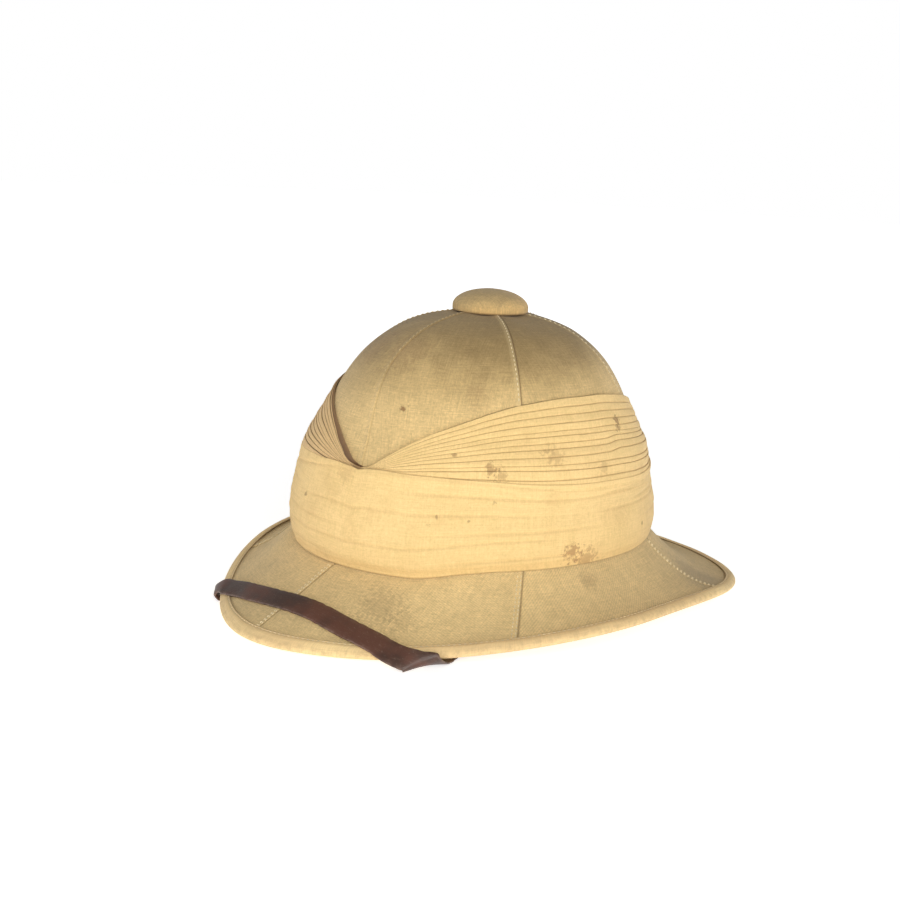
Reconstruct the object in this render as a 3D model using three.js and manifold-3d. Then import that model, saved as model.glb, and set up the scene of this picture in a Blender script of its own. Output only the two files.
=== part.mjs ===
// Sun helmet of pith covered in cloth, with a pleated scarf round the crown and a leather chin strap.
// Millimetres, +Z up, the wearer's front towards -Y and the wearer's left towards +X.
// The origin is the middle of the hat's length and width, on the surface that it rests on.
import Module from 'manifold-3d';
import * as THREE from 'three';
import { mergeVertices } from 'three/addons/utils/BufferGeometryUtils.js';

const wasm = await Module();
wasm.setup();

// ---- driving dimensions ------------------------------------------------------------------------
const BRIM = {
  halfWidth: 139.3,      // widest point, a little in front of the middle
  frontReach: 167.4,     // from the widest point to the front edge
  backReach: 180.1,      // from the widest point to the back edge
  widestY: -6.35,
  frontPoint: 0.30,      // how far the front is drawn to a point
  backFullness: 0.28,    // how far the back is filled out
  sideHeight: 13.6,      // underside of the edge over the table at the sides
  wallInner: 4.0,
  wallEdge: 2.4,
};
// Underside of the edge: level at height rest up to the turn whose sine is flat, then rising.
const EDGE_FRONT = { rest: 1.5, flat: 0.40, power: 2.7 };
const EDGE_BACK = { rest: 0, flat: 0.30, power: 2.6 };
const BINDING = { width: 6.6, cloth: 1.0, gap: 0.3, thickness: 5.0 };
const FOOT = { frontReach: 113.8, backReach: 115.0, halfWidth: 99.4, centreY: -0.45 };
const CROWN = { wall: 7.0, jointHeight: 44.9, jointGap: 0.4 };
const SCARF = { gap: 0.75, gather: 6.5, split: 0.8, pleats: 5, endTurn: 1.5, groove: 0.9 };
const BUTTON = { radius: 22.4, height: 13.2, lip: 3.4, base: 166.3, hollow: 1.8, wall: 3.0 };
const POST = { radius: 9.0, headRadius: 12.5, head: 1.6, collar: 0.5 };
const STRAP = { width: 13.0, thickness: 1.6, stepsPerRow: 2 };
const STUD = { radius: 4.5, head: 1.4, shankRadius: 1.6, shank: 6.2, x: 84.9, y: -2.4, z: 58.0, play: 0.4 };
const AROUND = 48;       // stations round every ring

// Level sections of the crown cloth, from the joint with the brim up to the vent.
const CROWN_SECTIONS = [
  { z: 45.3, halfLength: 112.0, halfWidth: 97.5 },
  { z: 55.4, halfLength: 111.3, halfWidth: 96.9 },
  { z: 67.4, halfLength: 109.8, halfWidth: 95.6 },
  { z: 79.4, halfLength: 107.2, halfWidth: 93.3 },
  { z: 91.4, halfLength: 103.9, halfWidth: 90.4 },
  { z: 103.4, halfLength: 99.5, halfWidth: 86.6 },
  { z: 116.4, halfLength: 93.8, halfWidth: 81.6 },
  { z: 128.4, halfLength: 87.0, halfWidth: 75.8 },
  { z: 140.4, halfLength: 77.8, halfWidth: 67.8 },
  { z: 150.4, halfLength: 66.3, halfWidth: 57.7 },
  { z: 158.4, halfLength: 52.6, halfWidth: 45.8 },
  { z: 163.4, halfLength: 37.0, halfWidth: 32.2 },
  { z: 166, halfLength: 21.0, halfWidth: 18.3 },
  { z: 166.8, halfLength: 9.6, halfWidth: 9.6 },
];

// Level sections of the outside of the scarf, and its width over its length.
const SCARF_ASPECT = 0.871;
const SCARF_SECTIONS = [
  { z: 32.4, halfLength: 115.2 },
  { z: 38.4, halfLength: 116.5 },
  { z: 48.4, halfLength: 117.8 },
  { z: 58.4, halfLength: 117.2 },
  { z: 68.4, halfLength: 115.2 },
  { z: 78.4, halfLength: 112.9 },
  { z: 90.4, halfLength: 109.6 },
  { z: 103.4, halfLength: 103.1 },
  { z: 116.4, halfLength: 95.8 },
  { z: 128.9, halfLength: 88.0 },
];
// Heights of the scarf's top edge and of the line below its pleats, by turn from the gather.
const SCARF_EDGES = [
  { turn: 0, top: 88, low: 86 },
  { turn: 4, top: 89.8, low: 87.4 },
  { turn: 10, top: 96.4, low: 88.2 },
  { turn: 17.5, top: 104.1, low: 87.7 },
  { turn: 25, top: 110, low: 87.6 },
  { turn: 35, top: 116, low: 87 },
  { turn: 45, top: 121.2, low: 86.2 },
  { turn: 56, top: 124.9, low: 84.6 },
  { turn: 76, top: 127.4, low: 82.4 },
  { turn: 91, top: 127.3, low: 81.4 },
  { turn: 105, top: 125.4, low: 79.8 },
  { turn: 120, top: 121.8, low: 79 },
  { turn: 135, top: 115.8, low: 80.4 },
  { turn: 150, top: 107.8, low: 82.6 },
  { turn: 163, top: 98.8, low: 84.6 },
  { turn: 173, top: 90, low: 85.8 },
  { turn: 180, top: 88, low: 86 },
];

// Height of the scarf's lower edge, by turn from the front.
const SCARF_FOOT = [
  { turn: 0, z: 32.9 },
  { turn: 27, z: 32.9 },
  { turn: 34, z: 34.4 },
  { turn: 42, z: 36.8 },
  { turn: 54, z: 38.4 },
  { turn: 80, z: 38.4 },
  { turn: 105, z: 37.6 },
  { turn: 130, z: 38.2 },
  { turn: 180, z: 37.4 },
];

// How hollow the brim's upper surface is between the scarf and the edge: 1 is a straight slope.
const BRIM_HOLLOW = [
  { turn: 0, power: 1.0 },
  { turn: 20, power: 1.05 },
  { turn: 62, power: 1.6 },
  { turn: 120, power: 2.1 },
  { turn: 180, power: 2.1 },
];

// Middle line of the chin strap from the stud on the wearer's right, under the brim and up round its
// edge, over the front, and back the same way on the left. swing is the plan direction of the line
// across the strap and tilt its slope, both in degrees.
const STRAP_ROUTE = [
  { x: -87.2, y: -2.0, z: 66.0, swing: 90, tilt: 0 },
  { x: -87.8, y: -2.5, z: 54.0, swing: 90, tilt: 0 },
  { x: -86.8, y: -7.0, z: 42.0, swing: 92, tilt: 0 },
  { x: -81.5, y: -23.0, z: 30.5, swing: 130, tilt: 0 },
  { x: -80.0, y: -46.0, z: 20.5, swing: 172, tilt: 0 },
  { x: -80.0, y: -72.0, z: 11.5, swing: 180, tilt: 0 },
  { x: -78.5, y: -98.0, z: 3.8, swing: 178, tilt: 0 },
  { x: -75.5, y: -118.0, z: 1.1, swing: 165, tilt: 0 },
  { x: -72.4, y: -130.0, z: 1.05, swing: 145, tilt: 0 },
  { x: -71.6, y: -138.0, z: 1.2, swing: 139, tilt: 0 },
  { x: -70.8, y: -141.2, z: 4.8, swing: 139, tilt: 2 },
  { x: -64.4, y: -141.8, z: 9.2, swing: 132, tilt: 8 },
  { x: -55.0, y: -143.2, z: 11.0, swing: 108, tilt: 20 },
  { x: -44.0, y: -144.2, z: 13.0, swing: 96, tilt: 25 },
  { x: -27.0, y: -147.6, z: 15.8, swing: 92, tilt: 26 },
  { x: -9.0, y: -148.6, z: 17.8, swing: 90, tilt: 26 },
  { x: 9.0, y: -147.4, z: 18.4, swing: 90, tilt: 26 },
  { x: 22.0, y: -146.2, z: 17.5, swing: 88, tilt: 27 },
  { x: 36.0, y: -144.6, z: 14.8, swing: 82, tilt: 26 },
  { x: 49.0, y: -142.6, z: 12.4, swing: 80, tilt: 24 },
  { x: 60.0, y: -140.8, z: 10.2, swing: 94, tilt: 27 },
  { x: 70.5, y: -139.6, z: 7.6, swing: 102, tilt: 38 },
  { x: 79.6, y: -137.2, z: 6.2, swing: 86, tilt: 42 },
  { x: 85.6, y: -132.6, z: 4.9, swing: 50, tilt: 28 },
  { x: 86.0, y: -124.2, z: 2.8, swing: 26, tilt: 11 },
  { x: 81.8, y: -113.0, z: 1.3, swing: 7, tilt: 0 },
  { x: 79.0, y: -98.0, z: 3.8, swing: 2, tilt: 0 },
  { x: 80.0, y: -72.0, z: 11.5, swing: 0, tilt: 0 },
  { x: 80.0, y: -46.0, z: 20.5, swing: 8, tilt: 0 },
  { x: 81.5, y: -23.0, z: 30.5, swing: 50, tilt: 0 },
  { x: 86.8, y: -7.0, z: 42.0, swing: 88, tilt: 0 },
  { x: 87.8, y: -2.5, z: 54.0, swing: 90, tilt: 0 },
  { x: 87.2, y: -2.0, z: 66.0, swing: 90, tilt: 0 },
];

// ---- curves and surfaces -----------------------------------------------------------------------
const radians = THREE.MathUtils.degToRad;
const degrees = THREE.MathUtils.radToDeg;

/** Straight-line reading of a table: the column called value at the given key. */
function reading(table, key, value, at) {
  const last = table.length - 1;
  if (at <= table[0][key]) return table[0][value];
  for (let row = 1; row <= last; row += 1) {
    if (at <= table[row][key]) {
      const part = (at - table[row - 1][key]) / (table[row][key] - table[row - 1][key]);
      return THREE.MathUtils.lerp(table[row - 1][value], table[row][value], part);
    }
  }
  return table[last][value];
}

/** Turn in degrees from the front, 0 to 180 on either side. */
function turnFromFront(angle) {
  return Math.abs(degrees(Math.atan2(Math.sin(angle), Math.cos(angle))));
}

/** Plan point on the outer edge of the bound brim, drawn in by inset. */
function edgePoint(angle, inset = 0) {
  const ahead = Math.cos(angle) > 0;
  const shape = ahead ? BRIM.frontPoint : -BRIM.backFullness;
  const reach = ahead ? BRIM.frontReach : BRIM.backReach;
  const along = (a) => new THREE.Vector2(
    BRIM.halfWidth * Math.sin(a) * (1 - shape * Math.cos(a) ** 2),
    BRIM.widestY - reach * Math.cos(a),
  );
  const step = 0.001;
  const tangent = along(angle + step).sub(along(angle - step)).normalize();
  return along(angle).add(new THREE.Vector2(-tangent.y, tangent.x).multiplyScalar(inset));
}

/** Height of the underside of the bound edge over the table. */
function edgeRise(angle) {
  const { rest, flat, power } = Math.cos(angle) > 0 ? EDGE_FRONT : EDGE_BACK;
  const past = Math.max(0, Math.abs(Math.sin(angle)) - flat) / (1 - flat);
  return rest + (BRIM.sideHeight - rest) * past ** power;
}

/** Plan point where the scarf's lower edge meets the brim. */
function footPoint(angle) {
  const reach = Math.cos(angle) > 0 ? FOOT.frontReach : FOOT.backReach;
  return new THREE.Vector2(FOOT.halfWidth * Math.sin(angle), FOOT.centreY - reach * Math.cos(angle));
}

function footHeight(angle) {
  return reading(SCARF_FOOT, 'turn', 'z', turnFromFront(angle));
}

/** Middle of the crown's level section: the crown leans back a little as it rises. */
function crownCentreY(z) {
  const rise = z - SCARF_SECTIONS[0].z;
  return -2.4 + 0.03 * rise + 2.0 * (rise / 134.4) ** 12;
}

/** Point on the crown cloth at a height, moved out along the section by offset. */
function crownPoint(angle, z, offset = 0) {
  const halfLength = reading(CROWN_SECTIONS, 'z', 'halfLength', z) + offset;
  const halfWidth = reading(CROWN_SECTIONS, 'z', 'halfWidth', z) + offset;
  return new THREE.Vector3(halfWidth * Math.sin(angle), crownCentreY(z) - halfLength * Math.cos(angle), z);
}

/** Point on the brim's upper surface: reach 0 at the scarf's foot and 1 at the end of the wall. */
function brimTop(angle, reach) {
  const start = footPoint(angle);
  const end = edgePoint(angle, BINDING.cloth + BINDING.gap);
  const plan = start.clone().lerp(end, reach);
  const low = edgeRise(angle) + BINDING.thickness - BINDING.cloth - BINDING.gap;
  const power = reading(BRIM_HOLLOW, 'turn', 'power', turnFromFront(angle));
  const z = low + (footHeight(angle) - 0.2 - low) * (1 - reach) ** power;
  return new THREE.Vector3(plan.x, plan.y, z);
}

/** Same point on the underside, below by the wall's thickness there. */
function brimUnder(angle, reach) {
  const point = brimTop(angle, reach);
  point.z -= THREE.MathUtils.lerp(BRIM.wallInner + 1.4, BRIM.wallEdge, Math.sqrt(reach));
  return point;
}

// ---- closed shells -----------------------------------------------------------------------------
/** Solid from rows of points: the rows close on themselves, and the row of rows closes or is capped. */
function shell(rows, closed) {
  const sides = rows[0].length;
  const positions = rows.flat().flatMap((p) => [p.x, p.y, p.z]);
  const index = [];
  const spans = closed ? rows.length : rows.length - 1;
  for (let i = 0; i < spans; i += 1) {
    const next = (i + 1) % rows.length;
    for (let j = 0; j < sides; j += 1) {
      const k = (j + 1) % sides;
      const [a, b, c, d] = [i * sides + j, next * sides + j, next * sides + k, i * sides + k];
      index.push(a, b, c, a, c, d);
    }
  }
  if (!closed) {
    const last = (rows.length - 1) * sides;
    const half = sides / 2;
    for (let j = 0; j < half - 1; j += 1) {
      const [a, b, c, d] = [j, j + 1, sides - 2 - j, sides - 1 - j];
      index.push(a, b, c, a, c, d);
      index.push(last + a, last + c, last + b, last + a, last + d, last + c);
    }
  }
  const geometry = new THREE.BufferGeometry();
  geometry.setAttribute('position', new THREE.Float32BufferAttribute(positions, 3));
  geometry.setIndex(index);
  return outward(geometry);
}

/** Turns the faces over if the closed surface encloses a negative volume. */
function outward(geometry) {
  const position = geometry.getAttribute('position');
  const index = geometry.getIndex();
  const corner = [0, 1, 2].map(() => new THREE.Vector3());
  let volume = 0;
  for (let i = 0; i < index.count; i += 3) {
    corner.forEach((p, k) => p.fromBufferAttribute(position, index.getX(i + k)));
    volume += corner[0].dot(corner[1].clone().cross(corner[2]));
  }
  if (volume < 0) {
    for (let i = 0; i < index.count; i += 3) {
      const second = index.getX(i + 1);
      index.setX(i + 1, index.getX(i + 2));
      index.setX(i + 2, second);
    }
  }
  geometry.computeVertexNormals();
  return geometry;
}

/** Ring of sections all the way round the hat. */
function ring(section) {
  const rows = [];
  for (let i = 0; i < AROUND; i += 1) rows.push(section((2 * Math.PI * i) / AROUND));
  return shell(rows, true);
}

// ---- crown and brim ----------------------------------------------------------------------------
/** Domed wall from the joint hidden under the scarf up to the round vent. */
function crownGeometry() {
  return ring((angle) => {
    const outside = CROWN_SECTIONS.map(({ z }) => crownPoint(angle, z));
    const inside = CROWN_SECTIONS.map(({ z }, row) => {
      const above = CROWN_SECTIONS[Math.min(row + 1, CROWN_SECTIONS.length - 1)];
      const below = CROWN_SECTIONS[Math.max(row - 1, 0)];
      const slope = new THREE.Vector2(above.halfLength - below.halfLength, above.z - below.z).normalize();
      const point = crownPoint(angle, z, row === CROWN_SECTIONS.length - 1 ? 0 : -CROWN.wall * slope.y);
      point.z = row === 0 ? z : z + CROWN.wall * slope.x;
      return point;
    });
    return [...outside, ...inside.reverse()];
  });
}

/** Sloping brim with the collar that carries the crown. */
function brimGeometry() {
  const reaches = [0, 0.12, 0.28, 0.46, 0.64, 0.8, 0.9, 1];
  return ring((angle) => {
    const foot = footHeight(angle);
    const collar = (z, offset) => {
      const point = crownPoint(angle, CROWN.jointHeight + CROWN.jointGap, offset);
      point.z = z;
      return point;
    };
    const upper = reaches.map((reach) => brimTop(angle, reach));
    const under = reaches.slice(1).map((reach) => brimUnder(angle, reach));
    return [
      collar(CROWN.jointHeight, 0),
      collar(foot + 3.6, 0),
      ...upper,
      ...under.reverse(),
      collar(foot - 4.5, 1.5 - CROWN.wall),
      collar(foot + 1.0, -CROWN.wall),
      collar(CROWN.jointHeight, -CROWN.wall),
    ];
  });
}

/** Folded cloth round the edge of the brim, above it, outside it and below it. */
function bindingGeometry() {
  const { width, cloth, gap, thickness } = BINDING;
  return ring((angle) => {
    const rise = edgeRise(angle);
    const at = (inset, z) => {
      const plan = edgePoint(angle, inset);
      return new THREE.Vector3(plan.x, plan.y, z);
    };
    const breadth = footPoint(angle).distanceTo(edgePoint(angle, cloth + gap));
    const over = (inset, lift) => {
      const point = brimTop(angle, 1 - (inset - cloth - gap) / breadth);
      return point.setZ(point.z + gap + lift);
    };
    const under = brimUnder(angle, 1 - (width - cloth) / breadth).z - gap;
    const hem = width - 1.2;
    const middle = 0.5 * width;
    return [
      over(width, 0.1),
      over(width, cloth),
      over(middle, cloth + 0.15),
      at(1.9, rise + 0.92 * thickness),
      at(0.6, rise + 0.72 * thickness),
      at(0, rise + 0.42 * thickness),
      at(0.4, rise + 0.15 * thickness),
      at(1.6, rise),
      at(hem, Math.min(rise, under - cloth)),
      at(hem, Math.min(rise + cloth, under)),
      at(cloth, rise + cloth),
      at(cloth, rise + thickness - cloth - 0.1),
      over(middle, 0.15),
    ];
  });
}

// ---- scarf -------------------------------------------------------------------------------------
/** Share of the way from the front gather to the back one, times 180, on either side. */
function turnFromGather(angle) {
  const past = angle - radians(SCARF.gather);
  const offset = degrees(Math.atan2(Math.sin(past), Math.cos(past)));
  const half = offset > 0 ? 180 - SCARF.gather : 180 + SCARF.gather;
  return Math.min(180, (180 * Math.abs(offset)) / half);
}

/** Point on the outside of the scarf, moved out by offset. */
function scarfPoint(angle, z, offset = 0) {
  const halfLength = reading(SCARF_SECTIONS, 'z', 'halfLength', z);
  return new THREE.Vector3(
    (SCARF_ASPECT * halfLength + offset) * Math.sin(angle),
    crownCentreY(z) - (halfLength + offset) * Math.cos(angle),
    z,
  );
}

/** Smooth lower wrap, from the brim up to the line below the pleats. */
function bandGeometry() {
  const levels = [0.14, 0.32, 0.54, 0.78, 1];
  return ring((angle) => {
    const foot = footHeight(angle) + 0.5;
    const low = reading(SCARF_EDGES, 'turn', 'low', turnFromGather(angle)) - 0.5 * SCARF.split;
    const heights = levels.map((level) => THREE.MathUtils.lerp(foot, low, level));
    const plan = footPoint(angle);
    const out = plan.clone().sub(new THREE.Vector2(0, FOOT.centreY)).normalize();
    const hem = (offset) => new THREE.Vector3(plan.x + offset * out.x, plan.y + offset * out.y, foot);
    return [
      hem(1.3),
      ...heights.map((z) => scarfPoint(angle, z)),
      ...heights
        .reverse()
        .map((z) => crownPoint(angle, Math.max(z, CROWN_SECTIONS[0].z), SCARF.gap).setZ(z)),
      hem(0.4),
    ];
  });
}

/** Pleated fan over one side of the crown, pinched at the gathers; side is 1 left, -1 right. */
function foldsGeometry(side) {
  const start = side * radians(SCARF.gather);
  const step = (2 * Math.PI) / AROUND;
  const angles = [start + radians(SCARF.endTurn)];
  for (let angle = step * Math.ceil((angles[0] + 0.01) / step); angle < Math.PI - 0.04; angle += step) {
    angles.push(angle);
  }
  angles.push(Math.PI - radians(SCARF.endTurn));
  const points = 2 * SCARF.pleats + 1;
  const rows = angles.map((turn) => {
    const angle = side * turn;
    const key = turnFromGather(angle);
    const low = reading(SCARF_EDGES, 'turn', 'low', key) + 0.5 * SCARF.split;
    const top = reading(SCARF_EDGES, 'turn', 'top', key);
    const outer = [];
    const inner = [];
    for (let i = 0; i < points; i += 1) {
      const z = THREE.MathUtils.lerp(low, top, i / (points - 1));
      const furrow = i % 2 === 0 ? SCARF.groove * Math.min(1, (top - low) / 12) : 0;
      outer.push(scarfPoint(angle, z, -furrow));
      inner.push(crownPoint(angle, z, SCARF.gap));
    }
    return [...outer, ...inner.reverse()];
  });
  return shell(rows, false);
}

// ---- ventilator --------------------------------------------------------------------------------
const VENT_Y = crownCentreY(CROWN_SECTIONS.at(-1).z);

/** Cloth-covered cap: a flattened dome over a short upright lip, hollow below. */
function buttonGeometry() {
  const { radius, height, lip, wall, hollow } = BUTTON;
  const profile = [[0, hollow], [radius - wall, hollow], [radius - wall, 0.3], [radius - 0.8, 0]]
    .map(([x, y]) => new THREE.Vector2(x, y));
  const arcs = 8;
  for (let i = 0; i <= arcs; i += 1) {
    const a = (0.5 * Math.PI * i) / arcs;
    profile.push(new THREE.Vector2(radius * Math.cos(a) ** 0.9, lip + (height - lip) * Math.sin(a) ** 1.1));
  }
  profile[profile.length - 1].x = 0;
  const geometry = new THREE.LatheGeometry(profile, 36);
  geometry.rotateX(0.5 * Math.PI);
  return geometry;
}

/** Plain hollow rivet that holds the cap over the vent. */
function postGeometry() {
  const { radius, headRadius, head, collar } = POST;
  const top = BUTTON.base + BUTTON.hollow - 0.35;
  const seat = top - collar;
  const under = CROWN_SECTIONS.at(-1).z - CROWN.wall - 0.7;
  const profile = [
    [0, under - head], [headRadius, under - head], [headRadius, under], [radius, under],
    [radius, seat], [headRadius, seat], [headRadius, top], [0, top],
  ].map(([x, y]) => new THREE.Vector2(x, y));
  const geometry = new THREE.LatheGeometry(profile, 24);
  geometry.rotateX(0.5 * Math.PI);
  return geometry;
}

// ---- chin strap --------------------------------------------------------------------------------
/** Column of the strap's route at a share u of its rows, on the straight line between two rows. */
function routeValue(column, u) {
  const place = u * (STRAP_ROUTE.length - 1);
  const row = Math.min(STRAP_ROUTE.length - 2, Math.floor(place));
  return THREE.MathUtils.lerp(STRAP_ROUTE[row][column], STRAP_ROUTE[row + 1][column], place - row);
}

/** Band of the strap's width and thickness, whose cross lines follow swing and tilt. */
function strapGeometry() {
  const curve = new THREE.CatmullRomCurve3(STRAP_ROUTE.map(({ x, y, z }) => new THREE.Vector3(x, y, z)));
  const steps = STRAP.stepsPerRow * (STRAP_ROUTE.length - 1);
  const rows = [];
  for (let i = 0; i <= steps; i += 1) {
    const u = i / steps;
    const along = curve.getTangent(u);
    const swing = radians(routeValue('swing', u));
    const tilt = radians(routeValue('tilt', u));
    const level = Math.cos(tilt);
    const across = new THREE.Vector3(Math.cos(swing) * level, Math.sin(swing) * level, Math.sin(tilt));
    const face = across.clone().cross(along);
    across.multiplyScalar((0.5 * STRAP.width) / face.length());
    face.setLength(0.5 * STRAP.thickness);
    const middle = curve.getPoint(u);
    const corners = [[1, 1], [1, -1], [-1, -1], [-1, 1]];
    rows.push(corners.map(([w, t]) => middle.clone().addScaledVector(across, w).addScaledVector(face, t)));
  }
  return shell(rows, false);
}

/** Round-headed rivet with its axis along +Y, the head first. */
function studGeometry() {
  const { radius, head, shankRadius, shank } = STUD;
  const profile = [
    [0, 0], [radius - 0.5, 0], [radius, 0.5], [radius, head], [shankRadius, head],
    [shankRadius, head + shank], [0, head + shank],
  ].map(([x, y]) => new THREE.Vector2(x, y));
  return new THREE.LatheGeometry(profile, 16);
}

/** Solid for boolean work from a closed geometry. */
function solid(geometry) {
  const plain = geometry.clone();
  plain.deleteAttribute('normal');
  plain.deleteAttribute('uv');
  const merged = mergeVertices(plain, 1e-4);
  return new wasm.Manifold(new wasm.Mesh({
    numProp: 3,
    vertProperties: new Float32Array(merged.getAttribute('position').array),
    triVerts: new Uint32Array(merged.getIndex().array),
  }));
}

/** The geometry with the holes of both rivets bored in it. */
function bored(geometry) {
  let body = solid(geometry);
  for (const side of [-1, 1]) {
    const radius = STUD.shankRadius + STUD.play;
    const length = STUD.head + STUD.shank + STUD.play;
    const bore = new THREE.CylinderGeometry(radius, radius, length, 12);
    bore.rotateZ(0.5 * Math.PI);
    bore.translate(side * (STUD.x + 0.5 * length), STUD.y, STUD.z);
    body = body.subtract(solid(bore));
  }
  const mesh = body.getMesh();
  const result = new THREE.BufferGeometry();
  result.setAttribute('position', new THREE.BufferAttribute(new Float32Array(mesh.vertProperties), 3));
  result.setIndex(new THREE.BufferAttribute(new Uint32Array(mesh.triVerts), 1));
  result.computeVertexNormals();
  return result;
}

// ---- assembly ----------------------------------------------------------------------------------
/** Material from a colour and its roughness. */
function finish(color, roughness, metalness = 0) {
  return new THREE.MeshStandardMaterial({ color, roughness, metalness });
}

const KHAKI = finish('#b7a06f', 0.95);
const MUSLIN = finish('#e3cd98', 0.95);
const TAPE = finish('#d9bf8c', 0.9);
const LEATHER = finish('#4a2c22', 0.55);
const BRASS = finish('#8f7a4c', 0.45, 0.8);

const group = new THREE.Group();

/** Adds one named piece to the hat. */
function add(name, geometry, material) {
  const mesh = new THREE.Mesh(geometry, material);
  mesh.name = name;
  group.add(mesh);
  return mesh;
}

add('crown', bored(crownGeometry()), KHAKI);
add('brim', brimGeometry(), KHAKI);
add('brim_binding', bindingGeometry(), TAPE);
add('scarf_band', bandGeometry(), MUSLIN);
add('scarf_folds_left', foldsGeometry(1), MUSLIN);
add('scarf_folds_right', foldsGeometry(-1), MUSLIN);
add('vent_cap', buttonGeometry(), KHAKI).position.set(0, VENT_Y, BUTTON.base);
add('vent_post', postGeometry(), BRASS).position.set(0, VENT_Y, 0);
add('chin_strap', bored(strapGeometry()), LEATHER);
for (const [side, name] of [[-1, 'right'], [1, 'left']]) {
  const stud = add(`strap_stud_${name}`, studGeometry(), BRASS);
  stud.rotation.z = -0.5 * side * Math.PI;
  stud.position.set(side * STUD.x, STUD.y, STUD.z);
}

export default group;
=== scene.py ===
"""Sun helmet: canvas crown and brim, pleated muslin scarf, cloth-covered vent cap, leather strap.

Sizes in the classes are in millimetres and are turned to metres when a mesh is made. The helmet's
turn is 0 at the wearer's front (-Y), 90 at the wearer's left (+X) and 180 at the back (+Y).
"""

import logging
from dataclasses import dataclass, field
from enum import Enum
from typing import Callable, Sequence

import bmesh
import bpy
import numpy as np
from mathutils import Matrix, Vector


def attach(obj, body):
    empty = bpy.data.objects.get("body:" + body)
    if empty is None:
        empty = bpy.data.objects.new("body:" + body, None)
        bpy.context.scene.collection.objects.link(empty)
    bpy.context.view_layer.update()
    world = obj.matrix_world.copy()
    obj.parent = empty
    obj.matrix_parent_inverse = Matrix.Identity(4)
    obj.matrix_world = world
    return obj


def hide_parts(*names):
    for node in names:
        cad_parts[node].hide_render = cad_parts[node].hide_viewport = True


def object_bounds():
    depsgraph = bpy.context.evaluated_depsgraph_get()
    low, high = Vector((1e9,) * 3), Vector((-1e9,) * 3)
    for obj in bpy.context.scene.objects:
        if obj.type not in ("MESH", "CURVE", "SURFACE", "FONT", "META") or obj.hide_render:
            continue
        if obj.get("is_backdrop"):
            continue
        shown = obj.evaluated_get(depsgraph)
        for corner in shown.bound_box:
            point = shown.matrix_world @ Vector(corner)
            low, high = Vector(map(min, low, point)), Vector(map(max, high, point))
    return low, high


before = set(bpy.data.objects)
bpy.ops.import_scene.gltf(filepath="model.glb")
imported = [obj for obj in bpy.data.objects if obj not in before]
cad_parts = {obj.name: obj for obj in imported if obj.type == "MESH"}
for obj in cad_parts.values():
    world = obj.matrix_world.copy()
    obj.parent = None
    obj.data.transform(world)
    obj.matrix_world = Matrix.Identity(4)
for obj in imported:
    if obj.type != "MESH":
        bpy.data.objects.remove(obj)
CAD_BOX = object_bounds()

LOG = logging.getLogger("sun_helmet")
MM = 0.001
TURN = 2.0 * np.pi
Array = np.ndarray
Surface = Callable[[Array, Array], Array]


class Side(Enum):
    """The wearer's side that a pleated fan covers."""

    LEFT = 1
    RIGHT = -1


# ---- curves -------------------------------------------------------------------------------------
def smooth_reading(keys: Sequence[float], values: Sequence[float], at: Array) -> Array:
    """Read a table along a smooth curve that never overshoots its rows.

    Each span is the cubic with end slopes equal to the harmonic mean of the neighbouring chords'
    slopes, or zero where those slopes change sign.

    Args:
        keys: rising positions of the rows.
        values: value in each row.
        at: positions to read at; beyond the ends the end value is given.

    Returns:
        The readings, in the shape of at.
    """
    x, y = np.asarray(keys, float), np.asarray(values, float)
    step, chord = np.diff(x), np.diff(y) / np.diff(x)
    slope = np.zeros_like(y)
    same = chord[:-1] * chord[1:] > 0
    total = np.where(same, chord[:-1] + chord[1:], 1.0)
    slope[1:-1] = np.where(same, 2.0 * chord[:-1] * chord[1:] / total, 0.0)
    slope[0], slope[-1] = chord[0], chord[-1]
    at = np.clip(at, x[0], x[-1])
    row = np.clip(np.searchsorted(x, at, side="right") - 1, 0, len(x) - 2)
    h, t = step[row], (at - x[row]) / step[row]
    return (
        y[row] * (1 + 2 * t) * (1 - t) ** 2
        + h * slope[row] * t * (1 - t) ** 2
        + y[row + 1] * t * t * (3 - 2 * t)
        + h * slope[row + 1] * t * t * (t - 1)
    )


def ease(low: float, high: float, at: Array) -> Array:
    """Rise from 0 at low to 1 at high with level ends, 3t^2 - 2t^3."""
    t = np.clip((at - low) / (high - low), 0.0, 1.0)
    return t * t * (3 - 2 * t)


def drift(a: Array, b: Array, seed: int, waves: int = 7) -> Array:
    """Slow uneven variation between about -1 and 1 over two parameters.

    It is the mean of sine waves whose directions, lengths and starts come from a seeded draw.

    Args:
        a: first parameter, about 6 units for one swell.
        b: second parameter, of the same kind.
        seed: picks the pattern.
        waves: number of sine waves.

    Returns:
        The variation, in the common shape of a and b.
    """
    draw = np.random.default_rng(seed)
    total = np.zeros(np.broadcast(a, b).shape)
    for _ in range(waves):
        p, q = draw.normal(0.0, 1.3, 2)
        total = total + np.sin(p * a + q * b + draw.uniform(0.0, TURN))
    return total / np.sqrt(waves)


def away(turn: Array, centre: float) -> Array:
    """Signed difference between turns in radians, from -pi to pi."""
    return (turn - centre + np.pi) % TURN - np.pi


def from_front(turn: Array) -> Array:
    """Turn from the front in degrees, 0 to 180 on either side."""
    return np.abs(np.degrees(away(turn, 0.0)))


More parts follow.
